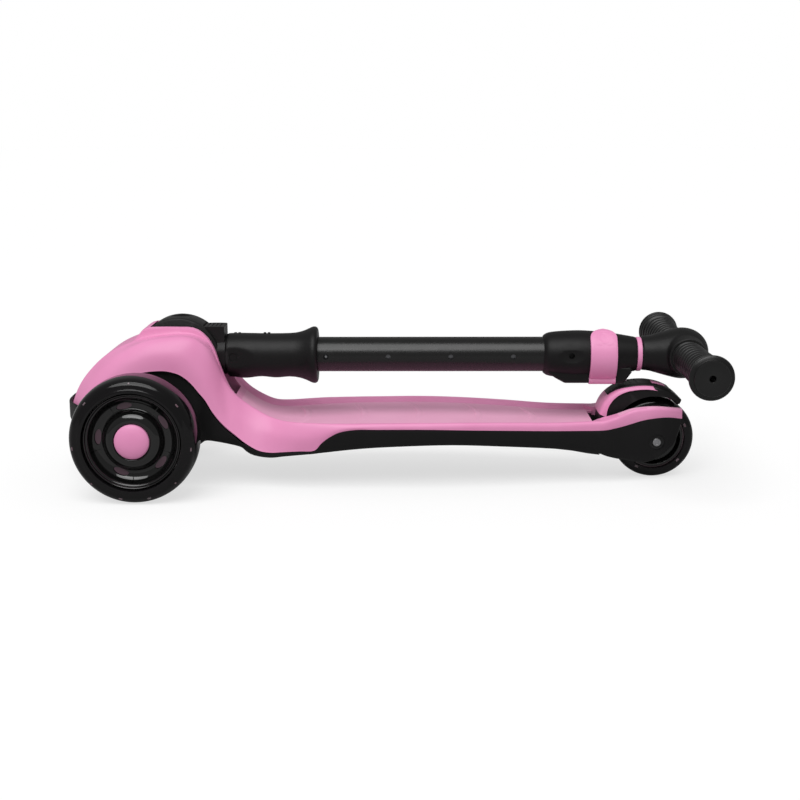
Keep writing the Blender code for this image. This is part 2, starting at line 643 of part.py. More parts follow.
def build_brake():
    pin = (BRAKE_PIN[0], 0, BRAKE_PIN[1])
    fender = make("brake_fender", fender_shell, "black_plastic", pin)

    cut(fender, "fender_pin_hole", lambda bm: rod(bm, pin, (0, 1, 0), -22, 22, 2.6))
    make("fender_trim", fender_trim, "pink_plastic", pin)
    make("fender_pad", fender_pad, "black_plastic", pin)
    make("brake_pin", lambda bm: rod(bm, pin, (0, 1, 0), -27, 27, 2.5), "steel", pin)
    start = (BRAKE_PIN[0], -9, BRAKE_PIN[1])
    make("brake_spring", lambda bm: coil(bm, start, (0, 1, 0), 18, 3.5, 0.45, 5), "steel", start)


# Stem: drum, sleeve, tube, clamp and lever ---------------------------------------------


def build_hinge():
    """Steel ears that carry the fold pivot, inside the hood."""
    at = (PIVOT[0], 0, PIVOT[1])

    def ear(side):
        def build(bm):
            outline = arc(PIVOT, 12, -20, 200, 12) + [(25, 60), (25, 48.6), (48, 48.6), (48, 60)]
            prism(bm, outline, side * 24.8, side * 28)

        return build

    bracket = make("hinge_bracket", ear(-1), "steel")
    add(bracket, "bracket_ear_right", ear(1))
    add(bracket, "bracket_foot", lambda bm: box(bm, 24, 49.5, -26, 26, 48.6, 51))
    cut(bracket, "bracket_hole", lambda bm: rod(bm, at, (0, 1, 0), -32, 32, 5.1))
    profile = [(-30.2, 0), (-30.2, 8), (-28.3, 8), (-28.3, 5), (29.5, 5), (29.5, 0)]
    make("fold_pivot_pin", lambda bm: lathe(bm, profile, at, (0, 1, 0)), "steel", at)

    drum = make(
        "hinge_drum",
        lambda bm: rod(bm, at, (0, 1, 0), -DRUM_HALF, DRUM_HALF, DRUM_R, 40),
        "black_plastic",
        at,
    )
    neck = [(45, 106), (60, 103), (75.7, 102.5), (75.7, 142.3), (45, 142.3)]
    add(drum, "drum_neck", lambda bm: prism(bm, neck, -16, 16))
    cut(drum, "button_pocket", lambda bm: box(bm, 54, 75.2, -13.4, 13.4, 129.5, 170))
    cut(drum, "drum_bore", lambda bm: rod(bm, at, (0, 1, 0), -20, 20, 5.1))

    button = [(54.4, 134), (74.8, 134), (74.8, 150.3), (73.6, 151.6), (55.6, 151.6), (54.4, 150.4)]
    middle = (64.6, 0, 142)
    make("release_button", lambda bm: prism(bm, button, -13, 13), "black_plastic", middle)
    foot = (64.6, 0, 129.6)
    make("release_spring", lambda bm: coil(bm, foot, (0, 0, 1), 4.3, 5, 0.5, 3.5), "steel", foot)


SLEEVE = [(76, 19.2), (78, 20.8), (100, 21.1), (143, 21.1), (151, 23.2), (158, 26.3), (161.5, 27.3), (164.5, 26.4), (165.5, 24.5)]


def sleeve_skin(bm):
    """A round sleeve with a wavy underside where the fingers go."""
    rings = []
    stations = [76, 78] + [84 + 7.5 * k for k in range(9)] + [151, 158, 161.5, 164.5, 165.5]
    for x in stations:
        base = between(SLEEVE, x)
        wave = 1.1 * (1 - math.cos(math.tau * (x - 79) / 30)) / 2 if 79 < x < 139 else 0.0
        ring = []
        for k in range(20):
            a = math.tau * k / 20
            under = max(0.0, -math.sin(a)) ** 2
            r = base + under * (1.3 + wave - (1.3 if x < 77 else 0))
            ring.append((x, r * math.cos(a), STEM_Z + r * math.sin(a)))
        rings.append(ring)
    loft(bm, rings)


def build_stem():
    at = (0, 0, STEM_Z)
    x_axis = (1, 0, 0)
    sleeve = make("stem_sleeve", sleeve_skin, "black_plastic")
    cut(sleeve, "sleeve_bore", lambda bm: rod(bm, at, x_axis, 80, 180, TUBE_R + 0.1, 24))
    cut(sleeve, "sleeve_recess", lambda bm: rod(bm, (83, -24, STEM_Z), (0, 1, 0), -3, 4.5, 4.6, 20))
    wall = [(80.5, TUBE_R), (80.5, TUBE_R - 2), (404, TUBE_R - 2), (404, TUBE_R)]
    tube = make("stem_tube", lambda bm: lathe(bm, wall, at, x_axis, 24, True), "black_paint")

    def holes(bm):
        for k in range(4):
            rod(bm, (173.8 + 61 * k, 0, STEM_Z), (0, -1, 0), 10, 22, 2.5, 16)

    cut(tube, "height_holes", holes)


CLAMP = [(387, 18.4), (391, 20.8), (398, 21.8), (411, 22.8), (425, 23.2), (443, 22), (459.5, 19.9), (474, 17.4), (477.6, 16.6)]


def clamp_skin(bm):
    lathe(bm, CLAMP, (0, 0, STEM_Z), (1, 0, 0), 24)


def clamp_lug(bm):
    outline = [(390, 108), (392, 104.5), (399, 100), (406.5, 95.8), (465.5, 95.8), (473, 106.5), (473, 110)]
    prism(bm, outline, -15.8, 13)


def build_clamp():
    at = (0, 0, STEM_Z)
    x_axis = (1, 0, 0)
    body = make("clamp_body", clamp_skin, "black_plastic")
    add(body, "clamp_lug", clamp_lug)
    cut(body, "clamp_tube_bore", lambda bm: rod(bm, at, x_axis, 380, 404.4, TUBE_R + 0.1, 24))
    cut(body, "clamp_inner_bore", lambda bm: rod(bm, at, x_axis, 400, 490, INNER_TUBE_R + 0.3, 24))
    y, z = CAM_PIN
    cut(body, "lever_notch", lambda bm: box(bm, 430.5, 457.5, -30, -6.3, 90, 104.6))
    pin = (0, y, z)
    cut(body, "cam_pin_hole", lambda bm: rod(bm, pin, x_axis, 420, 468.5, 2.1, 20))
    cut(body, "clamp_bolt_hole", lambda bm: rod(bm, (444, 0, z), (0, 1, 0), -8, 20, 2.6, 20))
    cut(body, "clamp_slit", lambda bm: box(bm, 415, 480, -0.9, 0.9, 90, 112))
    cut(body, "clamp_side_hole", lambda bm: rod(bm, (413, 0, STEM_Z + 1.6), (0, -1, 0), 19, 26, 3.4, 20))
    bolt = [(-6.1, 0), (-6.1, 2.5), (13.3, 2.5), (13.3, 5), (16.3, 5), (16.3, 0)]
    make("clamp_bolt", lambda bm: lathe(bm, bolt, (444, 0, z), (0, 1, 0), 20), "steel", (444, 5, z))
    make("cam_pin", lambda bm: rod(bm, pin, x_axis, 421, 468, 2, 20), "steel", (444, y, z))


def lever_band(bm):
    """A band that wraps the clamp from under it to the top, with a rounded thumb end."""
    rings = []
    for k in range(19):
        turn = 18 + 146 * k / 18
        a = math.radians(turn)
        half = 13.0
        if turn > 140:
            half *= math.sqrt(max(0.12, 1 - ((turn - 140) / 25) ** 2))
        ring = []
        for x, r in ((-half, 24.0), (-half, 26.3), (2 - half, 27.2), (half - 2, 27.2), (half, 26.3), (half, 24.0)):
            ring.append((444 + x, -r * math.sin(a), STEM_Z - r * math.cos(a)))
        rings.append(ring)
    loft(bm, rings)


def build_lever():
    y, z = CAM_PIN
    origin = (444, y, z)
    lever = make("quick_release_lever", lever_band, "pink_plastic", origin)
    add(lever, "lever_eye", lambda bm: rod(bm, (444, y, z), (1, 0, 0), -12.9, 12.9, 4.5, 24))
    cut(lever, "lever_pin_hole", lambda bm: rod(bm, (444, y, z), (1, 0, 0), -16, 16, 2.1, 20))


# Handlebar -----------------------------------------------------------------------------

TEE = [(483, 16.3), (491, 17.6), (500, 20.4), (510, 23), (519, 24.8), (526, 25), (533, 23.4), (539, 20.3),
       (544, 15.6), (547.5, 9.6), (549, 0)]


def build_handlebar():
    at = (0, 0, STEM_Z)
    x_axis = (1, 0, 0)
    inner = [(150, INNER_TUBE_R), (150, INNER_TUBE_R - 1.8), (508, INNER_TUBE_R - 1.8), (508, INNER_TUBE_R)]
    tube = make("inner_tube", lambda bm: lathe(bm, inner, at, x_axis, 24, True), "steel")
    cut(tube, "button_hole", lambda bm: rod(bm, (173.8, 0, STEM_Z), (0, -1, 0), 8, 20, 2.4, 16))
    button = [(8.6, 0), (8.6, 2.2), (14.2, 2.2), (14.7, 1.4), (14.8, 0)]
    centre = (173.8, 0, STEM_Z)
    make("height_button", lambda bm: lathe(bm, button, centre, (0, -1, 0), 16), "steel", (173.8, -12, STEM_Z))
    ring = [(478, 15), (482.6, 15), (482.6, 16.8), (478, 16.8)]
    make("collar_ring", lambda bm: lathe(bm, ring, at, x_axis, 24, True), "pink_plastic", (480, 0, STEM_Z))

    bar = (BAR[0], 0, BAR[1])
    tee = make("tee", lambda bm: lathe(bm, TEE, (0, 0, BAR[1] - 0.6), x_axis, 24), "black_plastic")
    collar = [(-30.2, 16.6), (-29, 17.8), (-18, 19.2), (0, 21.5), (18, 19.2), (29, 17.8), (30.2, 16.6)]
    add(tee, "tee_collars", lambda bm: lathe(bm, collar, bar, (0, 1, 0), 24))
    cut(tee, "tee_bar_bore", lambda bm: rod(bm, bar, (0, 1, 0), -40, 40, 11.1, 20))
    cut(tee, "tee_stem_bore", lambda bm: rod(bm, at, x_axis, 480, 508.4, INNER_TUBE_R + 0.1, 24))
    tube_bar = [(-129, 11), (-129, 9.4), (129, 9.4), (129, 11)]
    make("crossbar", lambda bm: lathe(bm, tube_bar, bar, (0, 1, 0), 20, True), "steel", bar)
    for side, name in ((-1, "left"), (1, "right")):
        make("grip_" + name, grip(side), "grip_rubber", (BAR[0], side * 80, BAR[1]))


def grip(side):
    """A ribbed rubber grip that swells to a flange and ends in a cap with a hole."""

    def build(bm):
        profile = [(31, 11.45), (31, 15.4)]
        ribs = 8
        for k in range(ribs):
            y = 35 + 10.8 * k
            r = 14.6 + 2.6 * (max(0, y - 70) / 55) ** 2
            profile += [(y, r), (y + 3, r + 1.1), (y + 7.4, r + 1.1)]
        profile += [(122.5, 17.6), (126, 19), (128.5, 20.6), (131.5, 20.75), (133.2, 19.6), (134, 17.2)]
        profile += [(136, 16.6), (137, 15.2), (137, 3), (133, 3), (133, 10), (129.6, 11.45)]
        lathe(bm, profile, (BAR[0], 0, BAR[1]), (0, side, 0), 16, True)

    return build


def build_screws():
    for name, x in (("front", 180), ("rear", 360)):
        at = (x, 0, between(BELLY, x))
        profile = [(-3.4, 0), (-3.4, 3), (-2.2, 4), (-1, 4), (-1, 2), (7, 2), (7, 0)]
        make("deck_screw_" + name, lambda bm, at=at, p=profile: lathe(bm, p, at, (0, 0, 1), 20), "steel", at)


def main():
    for obj in list(bpy.data.objects):
        bpy.data.objects.remove(obj)
    build_deck_shell()
    build_lower_chassis()
    build_screws()
    build_bridge()
    for side, name in ((-1, "left"), (1, "right")):
        build_side_truck(side, name)
        build_front_wheel(side, name)
    build_tie_rod()
    build_rear_wheel()
    build_brake()
    build_hinge()
    build_stem()
    build_clamp()
    build_lever()
    build_handlebar()


main()
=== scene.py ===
"""A folded three-wheel kick scooter, in millimetres: x runs from the front axle and z from the floor."""

import math

import bmesh
import bpy
from mathutils import Matrix, Vector


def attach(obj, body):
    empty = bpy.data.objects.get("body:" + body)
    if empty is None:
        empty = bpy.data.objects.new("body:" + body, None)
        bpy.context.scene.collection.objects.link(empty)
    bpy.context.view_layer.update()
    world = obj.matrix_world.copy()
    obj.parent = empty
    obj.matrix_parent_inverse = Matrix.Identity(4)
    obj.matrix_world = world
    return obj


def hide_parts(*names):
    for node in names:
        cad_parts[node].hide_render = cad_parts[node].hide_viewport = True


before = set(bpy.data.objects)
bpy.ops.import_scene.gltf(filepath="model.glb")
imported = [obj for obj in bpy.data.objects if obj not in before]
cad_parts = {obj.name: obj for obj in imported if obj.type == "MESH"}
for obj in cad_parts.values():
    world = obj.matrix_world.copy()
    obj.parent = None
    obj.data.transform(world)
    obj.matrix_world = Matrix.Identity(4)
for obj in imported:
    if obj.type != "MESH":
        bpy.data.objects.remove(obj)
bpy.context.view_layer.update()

MM = 0.001
MIDDLE_X = 235.0
FRONT_AXLE_Z = 60.0
REAR_AXLE = (496.8, 40.0)
PIVOT = (30.0, 120.0)
DRUM_R = 40.7
SLOT_HALF = 19.8
TAIL_NOTCH = (434.5, 470, -25.1, 25.1)
WHEEL_Y = 92
FIRST_WINDOW = 175  # degrees round the hub
SHELL_WALL = 2.4
FRAME_TUBE_R = (17, 15)  # outside and inside
TUBE_HOLES = (173.8, 234.8, 295.8, 356.8)
STEM_Z = 122.4
BAR = (524.0, 124.0)
BRAKE_PIN = (449.5, 60.3)
SMOOTH_ANGLE = math.radians(32)
SIDES = ((-1, "left"), (1, "right"))


# Shared effects -------------------------------------------------------------------


def effect(name, inputs, outputs):
    """An empty node group with the named sockets."""
    tree = bpy.data.node_groups.new(name, "ShaderNodeTree")
    for label, kind, value in inputs:
        socket = tree.interface.new_socket(label, in_out="INPUT", socket_type="NodeSocket" + kind)
        if value is not None:
            socket.default_value = value
    for label, kind in outputs:
        tree.interface.new_socket(label, in_out="OUTPUT", socket_type="NodeSocket" + kind)
    return tree, tree.nodes.new("NodeGroupInput"), tree.nodes.new("NodeGroupOutput")


def noise(tree, link_from, scale, detail=2.0, rough=0.5):
    node = tree.nodes.new("ShaderNodeTexNoise")
    node.inputs["Detail"].default_value = detail
    node.inputs["Roughness"].default_value = rough
    if isinstance(scale, (int, float)):
        node.inputs["Scale"].default_value = scale
    else:
        tree.links.new(scale, node.inputs["Scale"])
    tree.links.new(link_from, node.inputs["Vector"])
    return node


def spread(tree, value, low, high):
    """value, from 0 to 1, spread between two numbers or sockets."""
    node = tree.nodes.new("ShaderNodeMapRange")
    tree.links.new(value, node.inputs["Value"])
    for socket, end in (("To Min", low), ("To Max", high)):
        if isinstance(end, (int, float)):
            node.inputs[socket].default_value = end
        else:
            tree.links.new(end, node.inputs[socket])
    return node.outputs["Result"]


def grain_effect():
    """Moulded grain: a fine height field, a mottled roughness and a slightly uneven colour."""
    tree, given, out = effect(
        "moulded_grain",
        [
            ("Colour", "Color", (0.5, 0.5, 0.5, 1)),
            ("Shade", "Color", (0.3, 0.3, 0.3, 1)),
            ("Grain Scale", "Float", 1500.0),
            ("Bump", "Float", 0.1),
            ("Rough Low", "Float", 0.3),
            ("Rough High", "Float", 0.4),
        ],
        [("Colour", "Color"), ("Roughness", "Float"), ("Normal", "Vector")],
    )
    place = tree.nodes.new("ShaderNodeTexCoord").outputs["Object"]
    fine = noise(tree, place, given.outputs["Grain Scale"], 3.0, 0.6)
    wide = noise(tree, place, 22.0, 3.0)
    streak = noise(tree, place, 160.0, 2.0)
    mix = tree.nodes.new("ShaderNodeMix")
    mix.data_type = "RGBA"
    tree.links.new(spread(tree, wide.outputs["Fac"], -0.35, 1.2), mix.inputs["Factor"])
    tree.links.new(given.outputs["Colour"], mix.inputs[6])
    tree.links.new(given.outputs["Shade"], mix.inputs[7])
    bump = tree.nodes.new("ShaderNodeBump")
    bump.inputs["Distance"].default_value = 0.0002
    tree.links.new(given.outputs["Bump"], bump.inputs["Strength"])
    tree.links.new(fine.outputs["Fac"], bump.inputs["Height"])
    rough = spread(tree, streak.outputs["Fac"], given.outputs["Rough Low"], given.outputs["Rough High"])
    tree.links.new(mix.outputs[2], out.inputs["Colour"])
    tree.links.new(rough, out.inputs["Roughness"])
    tree.links.new(bump.outputs["Normal"], out.inputs["Normal"])
    return tree


def edge_highlight_effect():
    """Painted highlight: edges a little lighter than the flats, where light catches them."""
    tree, given, out = effect(
        "painted_edge_highlight",
        [("Colour", "Color", (0.5, 0.5, 0.5, 1)), ("Edge", "Color", (0.8, 0.8, 0.8, 1)),
            ("Amount", "Float", 0.2)],
        [("Colour", "Color")],
    )
    shape = tree.nodes.new("ShaderNodeNewGeometry").outputs["Pointiness"]
    ramp = tree.nodes.new("ShaderNodeValToRGB")
    ramp.color_ramp.elements[0].position = 0.52
    ramp.color_ramp.elements[1].position = 0.62
    tree.links.new(shape, ramp.inputs["Fac"])
    scale = tree.nodes.new("ShaderNodeMath")
    scale.operation = "MULTIPLY"
    tree.links.new(ramp.outputs["Color"], scale.inputs[0])
    tree.links.new(given.outputs["Amount"], scale.inputs[1])
    mix = tree.nodes.new("ShaderNodeMix")
    mix.data_type = "RGBA"
    tree.links.new(scale.outputs[0], mix.inputs["Factor"])
    tree.links.new(given.outputs["Colour"], mix.inputs[6])
    tree.links.new(given.outputs["Edge"], mix.inputs[7])
    tree.links.new(mix.outputs[2], out.inputs["Colour"])
    return tree


GRAIN = grain_effect()
EDGE_HIGHLIGHT = edge_highlight_effect()


def finish(name, colour, shade, scale, bump, rough, edge=None, highlight_amount=0.0, **constant):
    """A material whose colour, roughness and grain come from the shared effects."""
    made = bpy.data.materials.new(name)
    made.use_nodes = True
    tree = made.node_tree
    shader = tree.nodes["Principled BSDF"]
    grain = tree.nodes.new("ShaderNodeGroup")
    grain.node_tree = GRAIN
    grain.inputs["Colour"].default_value = (*colour, 1)
    grain.inputs["Shade"].default_value = (*shade, 1)
    grain.inputs["Grain Scale"].default_value = scale
    grain.inputs["Bump"].default_value = bump
    grain.inputs["Rough Low"].default_value, grain.inputs["Rough High"].default_value = rough
    colour_from = grain.outputs["Colour"]
    # Painted highlight: convex edges take the lighter edge colour.
    if edge:
        lit_edge = tree.nodes.new("ShaderNodeGroup")
        lit_edge.node_tree = EDGE_HIGHLIGHT
        lit_edge.inputs["Edge"].default_value = (*edge, 1)
        lit_edge.inputs["Amount"].default_value = highlight_amount
        tree.links.new(colour_from, lit_edge.inputs["Colour"])
        colour_from = lit_edge.outputs["Colour"]
    tree.links.new(colour_from, shader.inputs["Base Color"])
    tree.links.new(grain.outputs["Roughness"], shader.inputs["Roughness"])
    tree.links.new(grain.outputs["Normal"], shader.inputs["Normal"])
    for label, value in constant.items():
        shader.inputs[label.replace("_", " ")].default_value = value
    return made


# The edge colours given below are painted highlights on convex edges.
PINK = finish("pink_moulding", (0.85, 0.32, 0.56), (0.79, 0.275, 0.505), 2600, 0.10, (0.34, 0.44),
              (0.90, 0.42, 0.62), 0.3, Specular_IOR_Level=0.35)
# Lighter pink for the deck's grip area: the coarser grain is real, the lighter colour is painted light on
# the up-facing top.
LIT_TREAD = finish("pink_tread_lit", (0.90, 0.44, 0.64), (0.84, 0.38, 0.58), 1100, 0.35, (0.5, 0.6),
               (0.95, 0.55, 0.72), 0.3, Specular_IOR_Level=0.3)
BLACK = finish("black_moulding", (0.008, 0.0075, 0.008), (0.005, 0.005, 0.005), 1300, 0.35, (0.38, 0.5),
               (0.03, 0.03, 0.03), 0.4, Specular_IOR_Level=0.22)
COARSE = finish("pebbled_moulding", (0.009, 0.0085, 0.009), (0.005, 0.005, 0.005), 850, 0.8, (0.36, 0.5),
                (0.035, 0.035, 0.035), 0.35, Specular_IOR_Level=0.25)
COATED = finish("coated_tube", (0.008, 0.008, 0.008), (0.005, 0.005, 0.005), 1700, 0.22, (0.24, 0.32),
                Specular_IOR_Level=0.45)
GLOSS = finish("gloss_black", (0.004, 0.004, 0.004), (0.003, 0.003, 0.003), 300, 0.03, (0.06, 0.12),
               Specular_IOR_Level=0.5, Coat_Weight=0.3, Coat_Roughness=0.05)
SMOKE = finish("smoky_tyre", (0.007, 0.006, 0.007), (0.004, 0.004, 0.004), 260, 0.05, (0.08, 0.15),
               Transmission_Weight=0.15, IOR=1.45, Specular_IOR_Level=0.32)
PANE = finish("smoky_pane", (0.10, 0.055, 0.075), (0.06, 0.03, 0.045), 260, 0.05, (0.18, 0.28))
CHIP = finish("lamp_chips", (0.15, 0.13, 0.14), (0.16, 0.07, 0.10), 500, 0.05, (0.15, 0.25))
RUBBER = finish("grip_rubber", (0.006, 0.006, 0.006), (0.004, 0.004, 0.004), 1900, 0.3, (0.26, 0.36),
                (0.03, 0.03, 0.03), 0.4, Specular_IOR_Level=0.4)
# Inner tube steel, seen only through the height holes, made dark as painted shade in the holes.
HOLE_SHADE_STEEL = finish("hole_shade_steel", (0.20, 0.20, 0.21), (0.14, 0.14, 0.15), 900, 0.12, (0.28, 0.40),
                    Metallic=1.0)
STEEL = finish("zinc_steel", (0.42, 0.42, 0.43), (0.32, 0.32, 0.34), 900, 0.12, (0.24, 0.40), Metallic=1.0)


# Mesh helpers ---------------------------------------------------------------------


def shade(mesh):
    """Smooth shading with the sharp edges kept."""
    bm = bmesh.new()
    bm.from_mesh(mesh)
    for face in bm.faces:
        face.smooth = True
    for edge in bm.edges:
        edge.smooth = len(edge.link_faces) == 2 and edge.calc_face_angle(0) < SMOOTH_ANGLE
    bm.to_mesh(mesh)
    bm.free()


def piece(name, build, *materials, hidden=False):
    """An object in the frame's place, from build(bm) in millimetres from the front axle."""
    bm = bmesh.new()
    build(bm)
    bmesh.ops.remove_doubles(bm, verts=bm.verts, dist=1e-3)
    bmesh.ops.recalc_face_normals(bm, faces=bm.faces)
    bmesh.ops.translate(bm, verts=bm.verts, vec=(-MIDDLE_X, 0, 0))
    bmesh.ops.scale(bm, verts=bm.verts, vec=(MM, MM, MM))
    mesh = bpy.data.meshes.new(name)
    bm.to_mesh(mesh)
    bm.free()
    obj = bpy.data.objects.new(name, mesh)
    bpy.context.scene.collection.objects.link(obj)
    for made in materials:
        mesh.materials.append(made)
    if not hidden:
        shade(mesh)
    return obj


def settle(obj):
    """Makes the object's modifiers part of its mesh."""
    graph = bpy.context.evaluated_depsgraph_get()
    mesh = bpy.data.meshes.new_from_object(obj.evaluated_get(graph))
    old = obj.data
    obj.modifiers.clear()
    obj.data = mesh
    mesh.name = old.name
    bpy.data.meshes.remove(old)
    shade(mesh)
    return obj


def combine(obj, operation, *builds):
    """Adds or cuts shapes, then drops them."""
    tools = []
    for build in builds:
        tool = piece("tool", build, hidden=True)
        step = obj.modifiers.new("tool", "BOOLEAN")
        step.operation, step.solver, step.object = operation, "MANIFOLD", tool
        tools.append(tool)
    settle(obj)
    for tool in tools:
        bpy.data.objects.remove(tool)
    return obj


def soften(obj, width, segments=2, angle=32):
    step = obj.modifiers.new("soften", "BEVEL")
    step.width, step.segments = width * MM, segments
    step.limit_method, step.angle_limit = "ANGLE", math.radians(angle)
    step.use_clamp_overlap = True
    step.harden_normals = False
    return obj


def strand(bm, points, closed):
    verts = [bm.verts.new(p) for p in points]
    edges = [bm.edges.new(pair) for pair in zip(verts, verts[1:])]
    if closed:
        edges.append(bm.edges.new((verts[-1], verts[0])))
    return verts, edges


def skin(bm, rings, closed=True, capped=True):
    """Draws a strand through rings of points, one extrusion for each ring."""
    verts, edges = strand(bm, rings[0], closed)
    first = (verts, edges)
    for points in rings[1:]:
        made = bmesh.ops.extrude_edge_only(bm, edges=edges)["geom"]
        new = {v for v in made if isinstance(v, bmesh.types.BMVert)}
        edges = [e for e in made if isinstance(e, bmesh.types.BMEdge) and set(e.verts) <= new]
        verts = [next(e.other_vert(v) for e in v.link_edges if e.other_vert(v) in new) for v in verts]
        for v, p in zip(verts, points):
            v.co = p
    if capped and closed:
        bmesh.ops.contextual_create(bm, geom=first[1])
        bmesh.ops.contextual_create(bm, geom=edges)


def turn(bm, profile, at, axis, steps=64, closed=False):
    """Spins (along, radius) points about the axis through at."""
    axis = Vector(axis).normalized()
    side = Vector((0, 0, 1)) if abs(axis.y) > 0.99 else Vector((0, 1, 0))
    side = (side - axis * side.dot(axis)).normalized()
    points = [Vector(at) + axis * a + side * r for a, r in profile]
    verts, edges = strand(bm, points, closed)
    bmesh.ops.spin(bm, geom=verts + edges, cent=at, axis=axis, angle=math.tau, steps=steps, use_merge=True)


def rod(bm, at, axis, start, end, radius, steps=48):
    turn(bm, [(start, 0), (start, radius), (end, radius), (end, 0)], at, axis, steps)


def prism(bm, outline, low, high):
    """An (x, z) outline drawn from y = low to y = high."""
    skin(bm, [[(x, y, z) for x, z in outline] for y in (low, high)])


def block(bm, x0, x1, y0, y1, z0, z1):
    middle = Matrix.Translation(((x0 + x1) / 2, (y0 + y1) / 2, (z0 + z1) / 2))
    bmesh.ops.create_cube(bm, size=1.0, matrix=middle @ Matrix.Diagonal((x1 - x0, y1 - y0, z1 - z0, 1)))


def curve(points, steps):
    """Points along a smooth curve through the given ones."""
    made = []
    last = len(points) - 1
    for i in range(last):
        before, a = points[max(i - 1, 0)], points[i]
        b, after = points[i + 1], points[min(i + 2, last)]
        for k in range(steps):
            t = k / steps
            weights = (
                (-t + 2 * t * t - t**3) / 2,
                (2 - 5 * t * t + 3 * t**3) / 2,
                (t + 4 * t * t - 3 * t**3) / 2,
                (-t * t + t**3) / 2,
            )
            given = (before, a, b, after)
            made.append(tuple(sum(w * p[n] for w, p in zip(weights, given)) for n in range(len(a))))
    return made + [tuple(points[-1])]


def between(table, x):
    """Value at x in a table of (x, value), joined by straight lines."""
    if x <= table[0][0]:
        return table[0][1]
    for (x0, v0), (x1, v1) in zip(table, table[1:]):
        if x <= x1:
            return v0 + (v1 - v0) * (x - x0) / (x1 - x0)
    return table[-1][1]


def arc(centre, radius, start, end, steps):
    angles = [math.radians(start + (end - start) * k / steps) for k in range(steps + 1)]
    return [(centre[0] + radius * math.cos(a), centre[1] + radius * math.sin(a)) for a in angles]


def around(count):
    return [math.tau * k / count for k in range(count)]


def belongs(obj, body, slot, *nodes):
    """The piece rides on a body and stands for CAD nodes."""
    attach(obj, body)
    if nodes:
        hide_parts(*nodes)
    return obj


# Deck shell -----------------------------------------------------------------------

